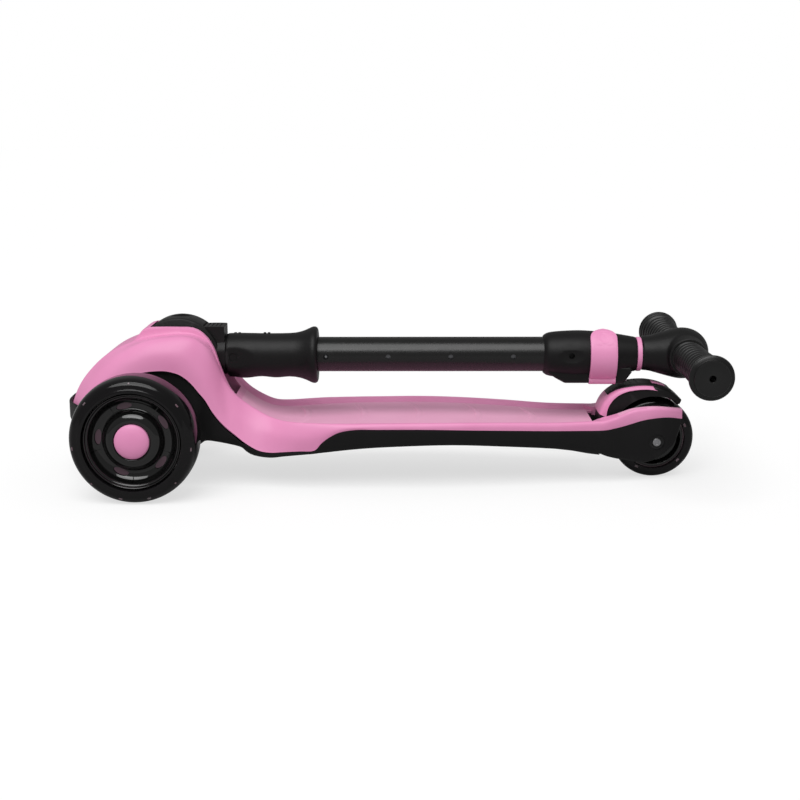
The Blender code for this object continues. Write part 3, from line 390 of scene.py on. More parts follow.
# Half sections, front to rear: centre line, inner top, inner crest, shoulder, side, lower edge.
SECTIONS = [
    [(-76, 0, 71), (-75, 19, 71), (-71.5, 33, 71), (-65, 44, 71), (-58, 51, 71.5), (-52, 55, 72)],
    [(-72.6, 0, 81), (-71.8, 19, 81), (-68.5, 33, 80.5), (-62, 44, 80), (-55, 51.5, 79.5), (-49, 55.5, 79)],
    [(-67, 0, 93), (-66.2, 19, 93), (-63, 33, 92), (-56.5, 44, 90.5), (-49.5, 52, 88.5), (-44, 56, 86.5)],
    [(-59.6, 0, 103.4), (-59, 19, 103.2), (-56, 33, 102), (-49.5, 44, 100), (-42.5, 52.5, 97),
     (-38, 56.3, 94)],
    [(-51, 0, 112.5), (-50.5, 19, 112.2), (-47.5, 33, 111), (-41.5, 44, 108.5), (-34.5, 52.5, 104.5),
     (-31, 56.6, 100.5)],
    [(-41, 0, 121.5), (-40.5, 19, 121.2), (-38, 33, 119.8), (-32.5, 44, 117), (-26.5, 52.8, 111.5),
     (-23, 56.8, 106.5)],
    [(-30.6, 0, 129), (-30, 19, 128.7), (-28, 33, 127.3), (-23.5, 44.5, 124.3), (-18, 53, 118),
     (-14, 57, 111)],
    [(-20, 0, 134.5), (-19.7, 19, 134.3), (-18, 33, 133), (-14.5, 45, 130.5), (-9.5, 53.5, 123),
     (-5, 57, 113.5)],
    [(-9, 0, 139), (-8.7, 20, 139), (-7.5, 33, 138), (-5, 45.5, 136.5), (-1, 54, 127), (4, 57, 115)],
    [(4, 0, 142.5), (4, 22, 143.5), (4.5, 34, 143.3), (6, 45.5, 142), (9, 54.3, 131.5), (13, 57, 116)],
    [(20, 0, 144), (20, 24, 146), (20.5, 34, 146), (21, 46, 145), (22.5, 54.7, 133), (24, 57, 116)],
    [(37, 0, 144), (37, 25, 147), (37, 34, 147), (37, 46, 146), (36.5, 54.8, 132), (35, 57, 113.3)],
    [(48, 0, 142), (48, 25, 145.5), (48, 34, 145.3), (47.5, 46, 144), (45.5, 54.5, 127.5), (43, 57, 108.5)],
    [(56, 0, 138), (56, 24.5, 141.5), (55.5, 34, 141), (55, 45.5, 139.5), (52.5, 54, 120), (49.5, 57, 102)],
    [(61.5, 0, 132), (61.5, 23.5, 136.5), (61, 33, 136), (60.5, 44.5, 134.5), (58, 53.5, 112.5),
     (55, 57, 95)],
    [(66, 0, 121), (66, 22, 127), (66, 28, 129.5), (65.5, 42.5, 127.5), (63, 53, 104.5), (61, 57, 87.5)],
    [(70, 0, 111), (70, 22.5, 115), (70, 28, 119), (70, 40, 118), (68.5, 51.5, 96), (67, 57, 77)],
    [(74.5, 0, 102), (74.5, 24.5, 103.5), (74.5, 30, 107.5), (74.5, 38, 107), (74, 50, 86.5),
     (73.5, 56.5, 68)],
    [(79.5, 0, 94), (79.5, 26.5, 94.5), (79.5, 32, 98), (79.7, 38, 97.6), (80, 48.5, 78), (80.5, 56, 60.5)],
    [(86.5, 0, 85.5), (86.5, 27.5, 85.3), (86.5, 33, 88.8), (86.8, 38, 88.6), (88, 48, 71),
     (88.5, 55.5, 53.5)],
    [(96, 0, 77), (96, 27, 76.6), (96, 32.5, 80.5), (96.3, 37, 80.4), (97.5, 47.5, 64.5), (98, 55.5, 45.5)],
    [(108, 0, 69.3), (108, 28.5, 69), (108, 34, 73), (108.3, 38.5, 73), (109.5, 49, 58), (110, 56, 38.5)],
    [(120, 0, 63.8), (120, 32.5, 63.7), (120, 38, 67.6), (120, 42.3, 67.6), (121, 52.5, 54.8),
     (122, 57.5, 36.6)],
    [(134, 0, 61.2), (134, 41, 61.1), (134, 46.5, 65.1), (134, 50.8, 65.2), (134.5, 57.8, 53),
     (135, 60, 37.8)],
    [(150, 0, 60.6), (150, 47.5, 60.6), (150, 53, 64.7), (150, 57.3, 64.8), (150, 62.2, 52.5),
     (150, 62, 39)],
    [(168, 0, 61), (168, 52, 61), (168, 57.3, 65.1), (168, 61.5, 65.1), (167, 65.2, 54.5),
     (164.5, 64, 40.2)],
    [(178, 0, 61.2), (178, 53.3, 61.2), (178, 58.6, 65.3), (178, 62.8, 65.3), (176.5, 65.6, 58),
     (172, 64.8, 48)],
    [(188, 0, 61.5), (188, 54.2, 61.5), (188, 59.4, 65.6), (188, 63.6, 65.6), (186.5, 66, 61),
     (181, 65.3, 54.6)],
    [(198, 0, 61.8), (198, 54.8, 61.8), (198, 60, 65.8), (198, 64, 65.8), (197, 66.2, 62.8),
     (191, 65.7, 59)],
    [(210, 0, 62), (210, 55, 62), (210, 60.2, 66), (210, 64.2, 66), (210, 66.3, 63.4), (206, 66, 61.1)],
]

# Plan half width of the deck's rim, height of its crest and of its lower edge.
RIM = [(210, 62.2), (270, 62.2), (290, 61.1), (310, 58.7), (350, 53), (390, 46.3), (410, 42.4), (440, 39.2)]
CREST = [(210, 66), (280, 66.6), (330, 65.6), (370, 64.1), (400, 62.9), (440, 63.4)]
EDGE = [(206, 61.1), (272, 61.2), (330, 59), (398, 55.8), (427, 54.9), (440, 54.9)]
# Height of the chassis underside.
BELLY = [
    (55, 45), (64, 46.6), (93, 40), (99, 34.5), (108, 31), (122, 29.8), (135, 31.8), (165, 35.6),
    (207, 40.6), (254, 43.3), (292, 43.9), (330, 42.1), (399, 36.3), (428, 31), (441, 29),
]
# The fork legs: top, lower edge of the pink cover, half width and underside.
LEG_TOP = [(425, 62.9), (441, 63.7), (455, 66.9), (471, 72.6), (483, 74.5), (497, 75.1), (520, 73.3)]
LEG_LINE = [
    (425, 54.9), (444, 54.9), (458, 56.8), (471, 59.6), (483, 62.7), (497, 64.6), (507, 65.2), (520, 64),
]
LEG_OUT = [(425, 43.9), (441, 42.2), (455, 39), (471, 34.4), (483, 32.3), (497, 31), (520, 31)]
LEG_BELLY = [
    (425, 33), (436, 31.2), (441, 30.2), (447, 27.6), (456, 24.8), (470, 21.5), (484, 19), (494, 21),
    (504, 27), (513, 36), (517, 45), (519.5, 55),
]
# Top edge of the cheek beside the slot.
CHEEK_TOP = [
    (-20, 134.3), (-17, 135.6), (-14, 137.6), (-11, 140.6), (-6, 147), (-4, 149.4), (-2, 151),
    (0.5, 152.2), (4, 152.9), (20, 153.1), (40, 152.9), (46, 152.2), (51.6, 149.9), (55, 147.4),
    (58.2, 144.3), (60.4, 141.8), (62.2, 139.2), (65.4, 133.4), (67.5, 128), (69.8, 120.2), (72, 113.6),
    (74.2, 107.6), (76.4, 101.8), (78.7, 96.5), (80, 94.3),
]
RIBS = (154, 210, 265, 323, 377)  # raised lines across the deck

LEG_TOP_C, LEG_LINE_C, LEG_OUT_C = (curve(t, 5) for t in (LEG_TOP, LEG_LINE, LEG_OUT))
LEG_BELLY_C = curve(LEG_BELLY, 4)
BELLY_C = curve(BELLY, 4)


def deck_section(x):
    half, crest, edge = between(RIM, x), between(CREST, x), between(EDGE, x)
    return [
        (x, 0, crest - 4),
        (x, half - 7.2, crest - 4),
        (x, half - 2, crest),
        (x, half + 2, crest),
        (x, half + 3.7, crest - 2.6),
        (x, half + 3.8, edge),
    ]


def fuller(station):
    """The nose of the hood, filled out where it is roundest."""
    share = math.sin(math.pi * max(0.0, min(1.0, (station[0][0] + 76) / 84)))
    return [(x - 3.0 * share, y, z + 1.6 * share) for x, y, z in station[:5]] + [station[5]]


def shell_rows(steps):
    """Half sections of the whole shell, smoothed lengthwise."""
    stations = [fuller(s) for s in SECTIONS[:10]] + SECTIONS[10:]
    stations += [deck_section(x) for x in range(225, 430, 43)] + [deck_section(440)]
    rails = [curve([s[n] for s in stations], steps) for n in range(6)]
    return [list(row) for row in zip(*rails)]


def across(row):
    """A half section smoothed across, with the cheek raised beside the slot."""
    inner = row[1]
    x, y, hood = inner
    if y < 26.6 and x < 80:
        rise = max(0.0, between(CHEEK_TOP, x) - hood) if -20 < x < 80 else 0.0
        top = hood + rise
        points = [
            (x, 0, top), (x, 12, top), (x, 19.5, top), (x, 22.8, top - 0.03 * rise),
            (x, 24.0, top - 0.12 * rise),
        ]
        points += [(x, y, hood + part * rise) for y, part in ((24.5, 0.6), (24.9, 0.2), (25.7, 0.05))]
        start = (x, 27.5, hood)
    else:
        points = [
            (x, 0, hood), (x, y * 0.35, hood), (x, y * 0.65, hood), (x, y - 8, hood), (x, y - 5, hood),
        ]
        points += [(x, y - 2.5, hood), (x, y - 1, hood), (x, y - 0.3, hood + 0.1)]
        start = (x, y + 0.3, hood + 0.4)
    return points + curve([start] + row[2:], 6)


def both_sides(half):
    return [(x, -y, z) for x, y, z in half[:0:-1]] + list(half)


def shell_skin(bm):
    skin(bm, [both_sides(across(row)) for row in shell_rows(4)], closed=False, capped=False)


def cheek_block(bm):
    outline = [(x, z - 1.4) for x, z in CHEEK_TOP if -15 < x < 73]
    outline += [(74, 102), (79, 93.2), (86, 84.4), (86, 80), (20, 80), (-14, 96)]
    prism(bm, outline, -23.4, 23.4)


def slot(bm):
    outline = arc(PIVOT, DRUM_R + 1.1, 127, 270, 60)
    outline += [(85.8, PIVOT[1] - DRUM_R - 1.1), (85.8, 190), (5, 190)]
    prism(bm, outline, -SLOT_HALF, SLOT_HALF)


def leg_half(x):
    """Outer half width of a fork leg, which grows out of the deck's side."""
    share = max(0.0, min(1.0, (x - 430) / 22))
    return (between(RIM, x) + 3.5) * (1 - share) + between(LEG_OUT_C, x) * share


def leg_cover(side):
    def build(bm):
        rings = []
        for k in range(48):
            x = 426 + 94 * k / 47
            out, top, line = leg_half(x), between(LEG_TOP_C, x), between(LEG_LINE_C, x)
            inner = out - 5.2 if x < 432 else 24.0 + (out - 29.2) * max(0.0, 1 - ((x - 432) / 13) ** 0.7)
            ring = [
                (inner, line), (out + 0.1, line), (out + 0.4, line + 1), (out + 0.4, top - 3.4),
                (out, top - 1.9),
            ]
            ring += [(out - 0.8, top - 0.7), (out - 2.2, top), (inner + 0.8, top), (inner, top - 0.8)]
            rings.append([(x, side * y, z) for y, z in ring])
        skin(bm, rings)

    return build


def tread_ribs(bm):
    """Low raised lines, bowed towards the rear, that keep a shoe from slipping."""
    for x0 in RIBS:
        half = between(RIM, x0) - 11 if x0 > 190 else 38.0
        floor = between(CREST, max(x0, 210)) - 4 if x0 > 190 else 60.9
        rings = []
        for k in range(41):
            t = -1 + 2 * k / 40
            x = x0 - 9 * t * t
            low = floor + between(CREST, max(x, 210)) - between(CREST, max(x0, 210))
            rise = 0.9 * (1 - t**8) + 0.05
            profile = [(-2.6, -0.4), (-1.6, rise * 0.75), (-0.6, rise), (0.9, rise)]
            profile += [(3.2, rise * 0.3), (5.0, -0.4)]
            rings.append([(x + dx, half * t, low + dz) for dx, dz in profile])
        skin(bm, rings)


def paint(obj, slot_index, test):
    """Gives the faces that pass the test another of the piece's materials."""
    for face in obj.data.polygons:
        c = face.center
        if test((c.x / MM + MIDDLE_X, c.y / MM, c.z / MM), face.normal):
            face.material_index = slot_index


def build_shell():
    shell = piece("hood_and_deck", shell_skin, PINK, LIT_TREAD)
    step = shell.modifiers.new("wall", "SOLIDIFY")
    step.thickness, step.offset, step.use_even_offset = SHELL_WALL * MM, -1.0, False
    settle(shell)
    combine(shell, "UNION", cheek_block)
    combine(shell, "DIFFERENCE", slot, lambda bm: block(bm, *TAIL_NOTCH, 30, 90))
    combine(shell, "UNION", leg_cover(-1), leg_cover(1))
    brake = (BRAKE_PIN[0], 0, BRAKE_PIN[1])
    combine(
        shell, "DIFFERENCE",
        lambda bm: rod(bm, brake, (0, 1, 0), -28, 28, 2.6),
        lambda bm: rod(bm, (PIVOT[0], 0, PIVOT[1]), (0, 1, 0), -26, 26, 5.2),
    )

    tray = [(station[1][0], station[1][1]) for station in SECTIONS[17:]]

    # Up-facing tray faces get the lighter tread pink, painted light on the deck top.
    def is_lit_tread(c, n):
        x, y, z = c
        inside = between(RIM, x) - 8.7 if x > 210 else between(tray, x) - 1.2
        return x > 90 and abs(y) < inside and n.z > 0.5 and z > 58

    paint(shell, 1, is_lit_tread)
    belongs(shell, "chassis", "pink_plastic", "deck_shell")
    ribs = piece("tread_ribs", tread_ribs, LIT_TREAD)
    belongs(ribs, "chassis", "pink_plastic")


# Lower chassis ----------------------------------------------------------------------


def belly(bm):
    wall = 2.6
    rings = []
    rows = [row[5] for row in shell_rows(3) if row[5][0] > 54]
    for x, y, z in rows:
        low = between(BELLY_C, x)
        top = z - (2.9 if x < 96 else 1.4) if x < 110 else z - 0.7
        side = y - 0.3
        deep = top - low
        bend = min(3.5, deep * 0.3)
        outer = [
            (x, 0, low), (x, side * 0.5, low), (x, side - 12, low), (x, side - 6.5, low),
            (x, side - 4.2, low + bend * 0.3),
        ]
        outer += [(x, side - 2.7, low + bend), (x, side - 1.7, low + bend + (deep - bend) * 0.25)]
        outer += [(x, side - 0.9, low + bend + (deep - bend) * 0.55)]
        outer += [(x, side - 0.2, top - 1.2), (x, side - 0.1, top)]
        inner = [(x, 0, low + wall), (x, side - 12, low + wall), (x, side - 6.8, low + wall + 0.4)]
        inner += [(x, side - 3.6, max(low + bend + 2.6, (low + top) / 2)), (x, side - wall, top)]
        rings.append(both_sides(outer) + both_sides(inner)[::-1])
    skin(bm, rings)


def arch_wall(side):
    def build(bm):
        edge = [row[5] for row in shell_rows(3) if -28 < row[5][0] < 50]
        outline = []
        for x, _, z in edge:
            away = Vector((x, z - FRONT_AXLE_Z))
            away *= (away.length + 3.5) / away.length
            outline.append((away.x, FRONT_AXLE_Z + away.y))
        outline += [(56.5, 84), (56.5, 46.5), (26, 46.5), (26, 90), (-26, 90), (-26, 46.5), (-50, 46.5)]
        prism(bm, outline, side * 49, side * 51.5)

    return build


def bumper(bm):
    profile = [
        (-79, 81), (-78.6, 81.8), (-77.9, 82), (-77.1, 81.8), (-76.6, 81), (-76.4, 70), (-70, 64),
        (-58, 49), (-58, 45),
    ]
    profile += [(-62, 45), (-68.5, 51), (-75, 58), (-77.6, 61.5), (-79, 66)]
    plan = curve([(-55, 19.5), (-50, 14.5), (-43, 9.8), (-33, 4.3), (-19, 0.9), (0, 0)], 4)
    rings = [[(x + back, y, z) for x, z in profile] for y, back in plan]
    rings += [[(x, -y, z) for x, y, z in ring] for ring in rings[-2::-1]]
    skin(bm, rings)


def leg_side(side):
    def build(bm):
        rings = []
        for k in range(60):
            x = 430 + 89.5 * k / 59
            out, line, low = leg_half(x), between(LEG_LINE_C, x) - 0.35, between(LEG_BELLY_C, x)
            deep = line - low
            ring = [
                (24, low), (out - 6, low), (out - 4.2, low + 0.4), (out - 2.7, low + 1.9),
                (out - 1.5, low + 1.9 + deep * 0.22),
            ]
            ring += [
                (out - 0.7, low + 1.9 + deep * 0.5), (out - 0.1, line - 1.0), (out - 0.1, line),
                (24, line),
            ]
            rings.append([(x, side * y, z) for y, z in ring])
        skin(bm, rings)

    return build


def floor_ribs(bm):
    """Stiffening ribs under the tray."""
    for x in (150, 200, 250, 300, 350, 400):
        low = between(BELLY_C, x)
        half = between(RIM, max(x, 210)) - 12 if x > 190 else 44
        block(bm, x - 0.9, x + 0.9, -half, half, low - 1.0, low + 1)
    for y in (-22, 22):
        rings = []
        for k in range(30):
            x = 150 + 250 * k / 29
            low = between(BELLY_C, x)
            corners = ((-0.9, -1), (0.9, -1), (0.9, 1), (-0.9, 1))
            rings.append([(x, y + out, low + up) for out, up in corners])
        skin(bm, rings)


def build_chassis():
    body = piece("chassis_tray", belly, BLACK)
    floor = (-60, 57, -50.3, 50.3, 45.5, 47.4)
    combine(body, "UNION", lambda bm: block(bm, *floor), arch_wall(-1), arch_wall(1), bumper)
    combine(body, "DIFFERENCE", lambda bm: block(bm, *TAIL_NOTCH, 20, 90))
    combine(body, "UNION", leg_side(-1), leg_side(1), floor_ribs)
    rear = (REAR_AXLE[0], 0, REAR_AXLE[1])
    pin = (BRAKE_PIN[0], 0, BRAKE_PIN[1])
    combine(
        body, "DIFFERENCE",
        lambda bm: rod(bm, rear, (0, 1, 0), -40, 40, 4.1),
        lambda bm: rod(bm, rear, (0, 1, 0), -36, -28, 8),
        lambda bm: rod(bm, rear, (0, 1, 0), 28, 36, 8),
        lambda bm: rod(bm, pin, (0, 1, 0), -28, 28, 2.6),
        *[lambda bm, x=x: rod(bm, (x, 0, between(BELLY, x)), (0, 0, 1), -3, 8, 4.4) for x in (180, 360)],
    )
    belongs(body, "chassis", "black_plastic", "lower_chassis")


# Wheels -----------------------------------------------------------------------------


def kidney(middle, half_angle, half_width):
    """A bean-shaped outline curving round the front axle."""
    outline = []
    for a in around(28):
        turned = math.radians(middle + half_angle * math.cos(a))
        r = 33.0 + half_width * math.sin(a)
        outline.append((r * math.cos(turned), FRONT_AXLE_Z + r * math.sin(turned)))
    return outline


def build_front_wheel(side, name):
    body = "front_wheel_" + name
    centre = (0, side * WHEEL_Y, FRONT_AXLE_Z)
    out = (0, side, 0)
    half = curve([
        (22, 46.3), (21.9, 48.5), (21.2, 50.2), (20.6, 52), (19.9, 54.2), (18, 56.6), (14.5, 58.6),
        (9, 59.7), (4, 60), (0, 60),
    ], 3)
    tyre = [(-a, r) for a, r in half] + half[-2::-1] + [(18.5, 45.9), (0, 45.7), (-18.5, 45.9)]
    tyre = [(-22, 46.3)] + tyre[1:]
    made = piece("tyre_body_" + name, lambda bm: turn(bm, tyre, centre, out, 128, True), SMOKE)
    belongs(made, body, "smoke_tyre", "tyre_" + name)

    def lamps(bm):
        for k in range(9):
            a = math.tau * k / 9 + 0.3 * math.sin(7.0 * k)
            turned = Matrix.Rotation(-side * a, 4, "Y")
            lean = Matrix.Rotation(side * math.radians(-60), 4, "X")
            place = Matrix.Translation(centre) @ turned @ Matrix.Translation((0, side * 19.55, 55.2)) @ lean
            size = Matrix.Diagonal((3.4 if k % 3 else 1.8, 1.5, 0.6, 1))
            bmesh.ops.create_cube(bm, size=1.0, matrix=place @ size)

    made = soften(piece("tyre_lamps_" + name, lamps, CHIP), 0.2)
    belongs(made, body, "light_band")

    band = [(-14, 44.2), (14, 44.2), (14, 45.45), (-14, 45.45)]
    made = piece("lamp_band_" + name, lambda bm: turn(bm, band, centre, out, 96, True), CHIP)
    belongs(made, body, "light_band", "light_band_" + name)

    dish = curve([
        (17.2, 45.2), (18.6, 44.9), (18.9, 44.1), (18.0, 43.3), (17.2, 42.8), (17.1, 42.0), (15.2, 40.4),
        (11.6, 38.3), (9.4, 35.2), (8.6, 31.6),
    ], 4)
    dish += curve([
        (8.7, 29.6), (9.6, 28.5), (12.4, 27.5), (15.2, 25.4), (17.0, 22.4), (17.6, 19.6), (17.4, 17.8),
        (16.8, 17.2), (15.5, 17.1), (15.5, 16.6),
    ], 4)
    core = [(-17, 43.8), (-17, 40), (-6, 38.5), (-6, 22), (-19.5, 19), (-19.5, 11.35), (-12, 11.35)]
    core += [(-12, 8.5), (3, 8.5), (3, 11.35), (15.3, 11.35), (15.5, 11.6)] + dish[::-1]
    hub = piece("wheel_hub_" + name, lambda bm: turn(bm, core, centre, out, 128, True), GLOSS)

    def window(k):
        def build(bm):
            middle = centre[1] + side * 11.2
            prism(bm, kidney(FIRST_WINDOW + 72 * k, 13.5, 3.3), middle - 4, middle + 4)

        return build

    def seams(bm):
        for k in range(5):
            turned = Matrix.Rotation(math.radians(20 + 72 * k), 4, "Y")
            place = Matrix.Translation(centre) @ turned @ Matrix.Translation((34.5, side * 13.3, 0))
            bmesh.ops.create_cube(bm, size=1.0, matrix=place @ Matrix.Diagonal((12.5, 10.0, 0.7, 1)))

    combine(hub, "DIFFERENCE", *[window(k) for k in range(5)], seams)
    belongs(soften(hub, 0.35, 2, 40), body, "black_gloss", "wheel_core_" + name)

    def panes(bm):
        for k in range(5):
            middle = centre[1] + side * 7.7
            prism(bm, kidney(FIRST_WINDOW + 72 * k, 12.8, 3.0), middle - 0.35, middle + 0.35)

    belongs(piece("hub_panes_" + name, panes, PANE), body, "smoke_tyre")

    cap = curve([(18.0, 16.3), (18.9, 16.0), (20.2, 14.2), (21.6, 10.6), (22.5, 6), (22.9, 0)], 4)
    profile = [(16.2, 0), (16.2, 16.3)] + cap
    made = piece("hub_button_" + name, lambda bm: turn(bm, profile, centre, out, 64), PINK)
    belongs(made, body, "pink_plastic", "hub_cap_" + name)


def build_rear_wheel():
    centre = (REAR_AXLE[0], 0, REAR_AXLE[1])
    axis = (0, 1, 0)
    half = curve([(13, 30.7), (12.9, 33), (12.4, 35.2), (11.2, 37.4), (9, 39), (5.5, 39.8), (0, 40)], 3)
    tyre = [(-a, r) for a, r in half] + half[-2::-1] + [(10, 30.5), (-10, 30.5)]
    made = piece("tyre_body_rear", lambda bm: turn(bm, tyre, centre, axis, 112, True), SMOKE)
    belongs(made, "rear_wheel", "smoke_tyre", "tyre_rear")

    def lamps(bm):
        for side in (-1, 1):
            for k in range(6):
                a = math.tau * k / 6 + 0.35 + 0.25 * math.sin(5.0 * k)
                place = Matrix.Translation(centre) @ Matrix.Rotation(a, 4, "Y")
                place = place @ Matrix.Translation((0, side * 12.75, 32.6))
                bmesh.ops.create_cube(bm, size=1.0, matrix=place @ Matrix.Diagonal((3.6, 0.5, 2.2, 1)))

    made = soften(piece("tyre_lamps_rear", lamps, CHIP), 0.25)
    belongs(made, "rear_wheel", "light_band")
    band = [(-9, 29), (9, 29), (9, 30.2), (-9, 30.2)]
    made = piece("lamp_band_rear", lambda bm: turn(bm, band, centre, axis, 96, True), CHIP)
    belongs(made, "rear_wheel", "light_band", "light_band_rear")
    core = [(-12, 28.6), (-12, 26), (-5, 24.5), (-5, 16), (-12.5, 14), (-12.5, 11.3), (-5.2, 11.3)]
    core += [
        (-5.2, 8.5), (5.2, 8.5), (5.2, 11.3), (12.5, 11.3), (12.5, 14), (5, 16), (5, 24.5), (12, 26),
        (12, 28.6),
    ]
    made = soften(piece("wheel_hub_rear", lambda bm: turn(bm, core, centre, axis, 96, True), GLOSS), 0.5)
    belongs(made, "rear_wheel", "black_gloss", "wheel_core_rear")


# Brake fender -------------------------------------------------------------------------

CROWN = [
    (164, 60), (155, 62.3), (146, 64), (137, 64.2), (129, 63.2), (121, 61.2), (113, 58.8), (105, 56.8),
    (97, 55.2), (89, 53.6), (81, 52.2), (73, 50.6), (65, 48.8), (58, 47.5),
]


def fender_ring(angle, points):
    a = math.radians(angle)
    return [(REAR_AXLE[0] + r * math.cos(a), y, REAR_AXLE[1] + r * math.sin(a)) for y, r in points]


def mirrored(half):
    """(y, r) points from the centre out, as a whole line from one side to the other."""
    return [(-y, r) for y, r in half[:0:-1]] + list(half)


def fender_shell(bm):
    rings = []
    for angle, crown in curve(CROWN, 3):
        tail = max(0.0, min(1.0, (98 - angle) / 7))
        top = crown - 2.8 + 2.3 * tail
        foot = min(43.5 + max(0.0, angle - 140) * 0.22, top - 5)
        wide = 18 + 1.3 * tail
        outer = [
            (0, top), (8, top), (14, top), (wide - 2.4, top - 0.3), (wide - 1.1, top - 1.1),
            (wide - 0.3, top - 2.2), (wide, top - 3.6),
        ]
        outer += [(wide, (foot + top) / 2 - 1), (wide, foot)]
        inner = [(0, crown - 5.0), (13.5, crown - 5.0), (15.4, crown - 5.8), (16, crown - 7.4), (16, foot)]
        rings.append(fender_ring(angle, mirrored(outer) + mirrored(inner)[::-1]))
    skin(bm, rings)


BAND_DROP = [(58, 1.9), (80, 1.9), (100, 2.1), (118, 2.5), (132, 3.3), (144, 4.6), (155, 6.5)]


def fender_trim(bm):
    """The pink band that wraps the fender, open on top for the pad."""
    rings = []
    for angle, crown in curve(CROWN[1:10], 3):
        top = crown - 2.5
        drop = between(BAND_DROP, angle)
        outer = [
            (0, top + 1.2), (14.5, top + 1.2), (16.8, top + 0.9), (18.4, top - 0.2), (19.2, top - 1.6),
            (19.4, top - drop),
        ]
        inner = [
            (0, top + 0.05), (15.2, top + 0.05), (17.2, top - 1), (18.3, top - 1.9), (18.3, top - drop),
        ]
        rings.append(fender_ring(angle, mirrored(outer) + mirrored(inner)[::-1]))
    skin(bm, rings)


def fender_pad(bm):
    rings = []
    for angle, crown in curve(CROWN[3:-2], 3):
        low = crown - 1.1
        taper = 1.18 if angle < 118 else max(0.55, 1.18 - (angle - 118) / 36)
        half = [
            (0, crown + 0.45), (9 * taper, crown + 0.45), (12.0 * taper, crown + 0.2),
            (13.2 * taper, crown - 0.3), (13.5 * taper, low),
        ]
        rings.append(fender_ring(angle, mirrored(half)))
    skin(bm, rings)


def pad_grooves(bm):
    for angle in range(108, 146, 6):
        crown = between(CROWN[::-1], angle)
        inside, outside = crown - 0.25, crown + 1.4
        rings = [fender_ring(angle - 0.7, [(-10, inside), (10, inside), (10, outside), (-10, outside)])]
        rings.append(fender_ring(angle + 0.7, [(-10, inside), (10, inside), (10, outside), (-10, outside)]))
        skin(bm, rings)


def fender_inlay(bm):
    rings = []
    for angle in range(79, 94, 2):
        crown = between(CROWN[::-1], angle)
        half = [(0, crown + 0.8), (6.4, crown + 0.75), (7, crown + 0.4), (7, crown - 0.4)]
        rings.append(fender_ring(angle, mirrored(half)))
    skin(bm, rings)


def build_brake():
    pin = (BRAKE_PIN[0], 0, BRAKE_PIN[1])
    fender = piece("fender_arch", fender_shell, COARSE)
    combine(fender, "DIFFERENCE", lambda bm: rod(bm, pin, (0, 1, 0), -22, 22, 2.6))
    belongs(soften(fender, 0.4), "brake", "black_plastic", "brake_fender")
    belongs(soften(piece("fender_band", fender_trim, PINK), 0.25), "brake", "pink_plastic", "fender_trim")
    pad = piece("fender_tread", fender_pad, COARSE)
    combine(pad, "DIFFERENCE", pad_grooves)
    belongs(pad, "brake", "black_plastic", "fender_pad")
    belongs(piece("fender_inlay", fender_inlay, PINK), "brake", "pink_plastic")


# Hinge, sleeve, stem ----------------------------------------------------------------------


def drum_neck(bm):
    """The round root of the stem, flattened where it passes between the cheeks."""
    rings = []
    for x, r in ((42, 18.4), (60, 18.9), (70, 19.2), (75.6, 19.6)):
        rounded = [(r * math.cos(a), r * math.sin(a)) for a in around(64)]
        rings.append([(x, max(-18.4, min(18.4, y)), STEM_Z + z) for y, z in rounded])
    skin(bm, rings)


def build_hinge():
    at = (PIVOT[0], 0, PIVOT[1])
    half = [(17.3, 0), (17.3, 38.9), (16.6, 40.1), (15.2, 40.7)]
    outline = [(-y, r) for y, r in half] + half[::-1]
    drum = piece("fold_drum", lambda bm: turn(bm, outline, at, (0, 1, 0), 128), COARSE)
    combine(drum, "UNION", drum_neck)
    combine(
        drum, "DIFFERENCE",
        lambda bm: block(bm, 54, 75.2, -13.4, 13.4, 129.5, 170),
        lambda bm: rod(bm, at, (0, 1, 0), -20, 20, 5.1),
        lambda bm: block(bm, 5, 52, -9.5, 9.5, 159.6, 170),
    )
    belongs(drum, "stem", "black_plastic", "hinge_drum")
    button = curve([
        (54.4, 134), (54.4, 150), (54.9, 151.2), (56, 151.7), (65, 151.9), (73.4, 151.7), (74.5, 151.2),
        (74.8, 150), (74.8, 134),
    ], 3)
    made = piece("fold_button_cap", lambda bm: prism(bm, button, -13, 13), COARSE)
    places = (58.6, 62.6, 66.6, 70.6)
    grooves = [lambda bm, x=x: block(bm, x - 0.7, x + 0.7, -10, 10, 151.2, 153) for x in places]
    combine(made, "DIFFERENCE", *grooves)
    belongs(soften(made, 0.5), "fold_button", "black_plastic", "release_button")


SLEEVE = [
    (76, 19.2), (76.6, 20.2), (78, 20.8), (90, 21.1), (110, 20.7), (130, 20.7), (143, 21.3), (151, 23.2),
    (156, 25.3), (159.5, 26.9), (161.5, 27.3), (163.3, 27.1), (164.6, 26.2), (165.3, 24.8), (165.5, 22),
]


def sleeve_skin(bm):
    rings = []
    profile = curve(SLEEVE, 2)
    stations = [x for x, _ in profile if x < 79] + [79 + 64 * k / 60 for k in range(61)]
    stations += [x for x, _ in profile if x > 143.5]
    for x in stations:
        base = between(profile, x)
        wave = 1.2 * (1 - math.cos(math.tau * (x - 79) / 30)) / 2 if 79 < x < 139 else 0.0
        flat = 18.6 + 3.2 * max(0.0, (x - 84) / 26) ** 1.6 if x < 118 else 99
        ring = []
        for a in around(72):
            under = max(0.0, -math.sin(a)) ** 2
            r = base + under * (1.3 + wave - (1.3 if x < 77 else 0))
            y = r * math.cos(a)
            y = max(-flat, min(flat, y))
            ring.append((x, y, STEM_Z + r * math.sin(a)))
        rings.append(ring)
    skin(bm, rings)


def sleeve_studs(bm):
    for x in (84, 88, 113, 117):
        rod(bm, (x, 0, STEM_Z), (0, 0.12, 1), 18, 21.6, 1.3, 20)


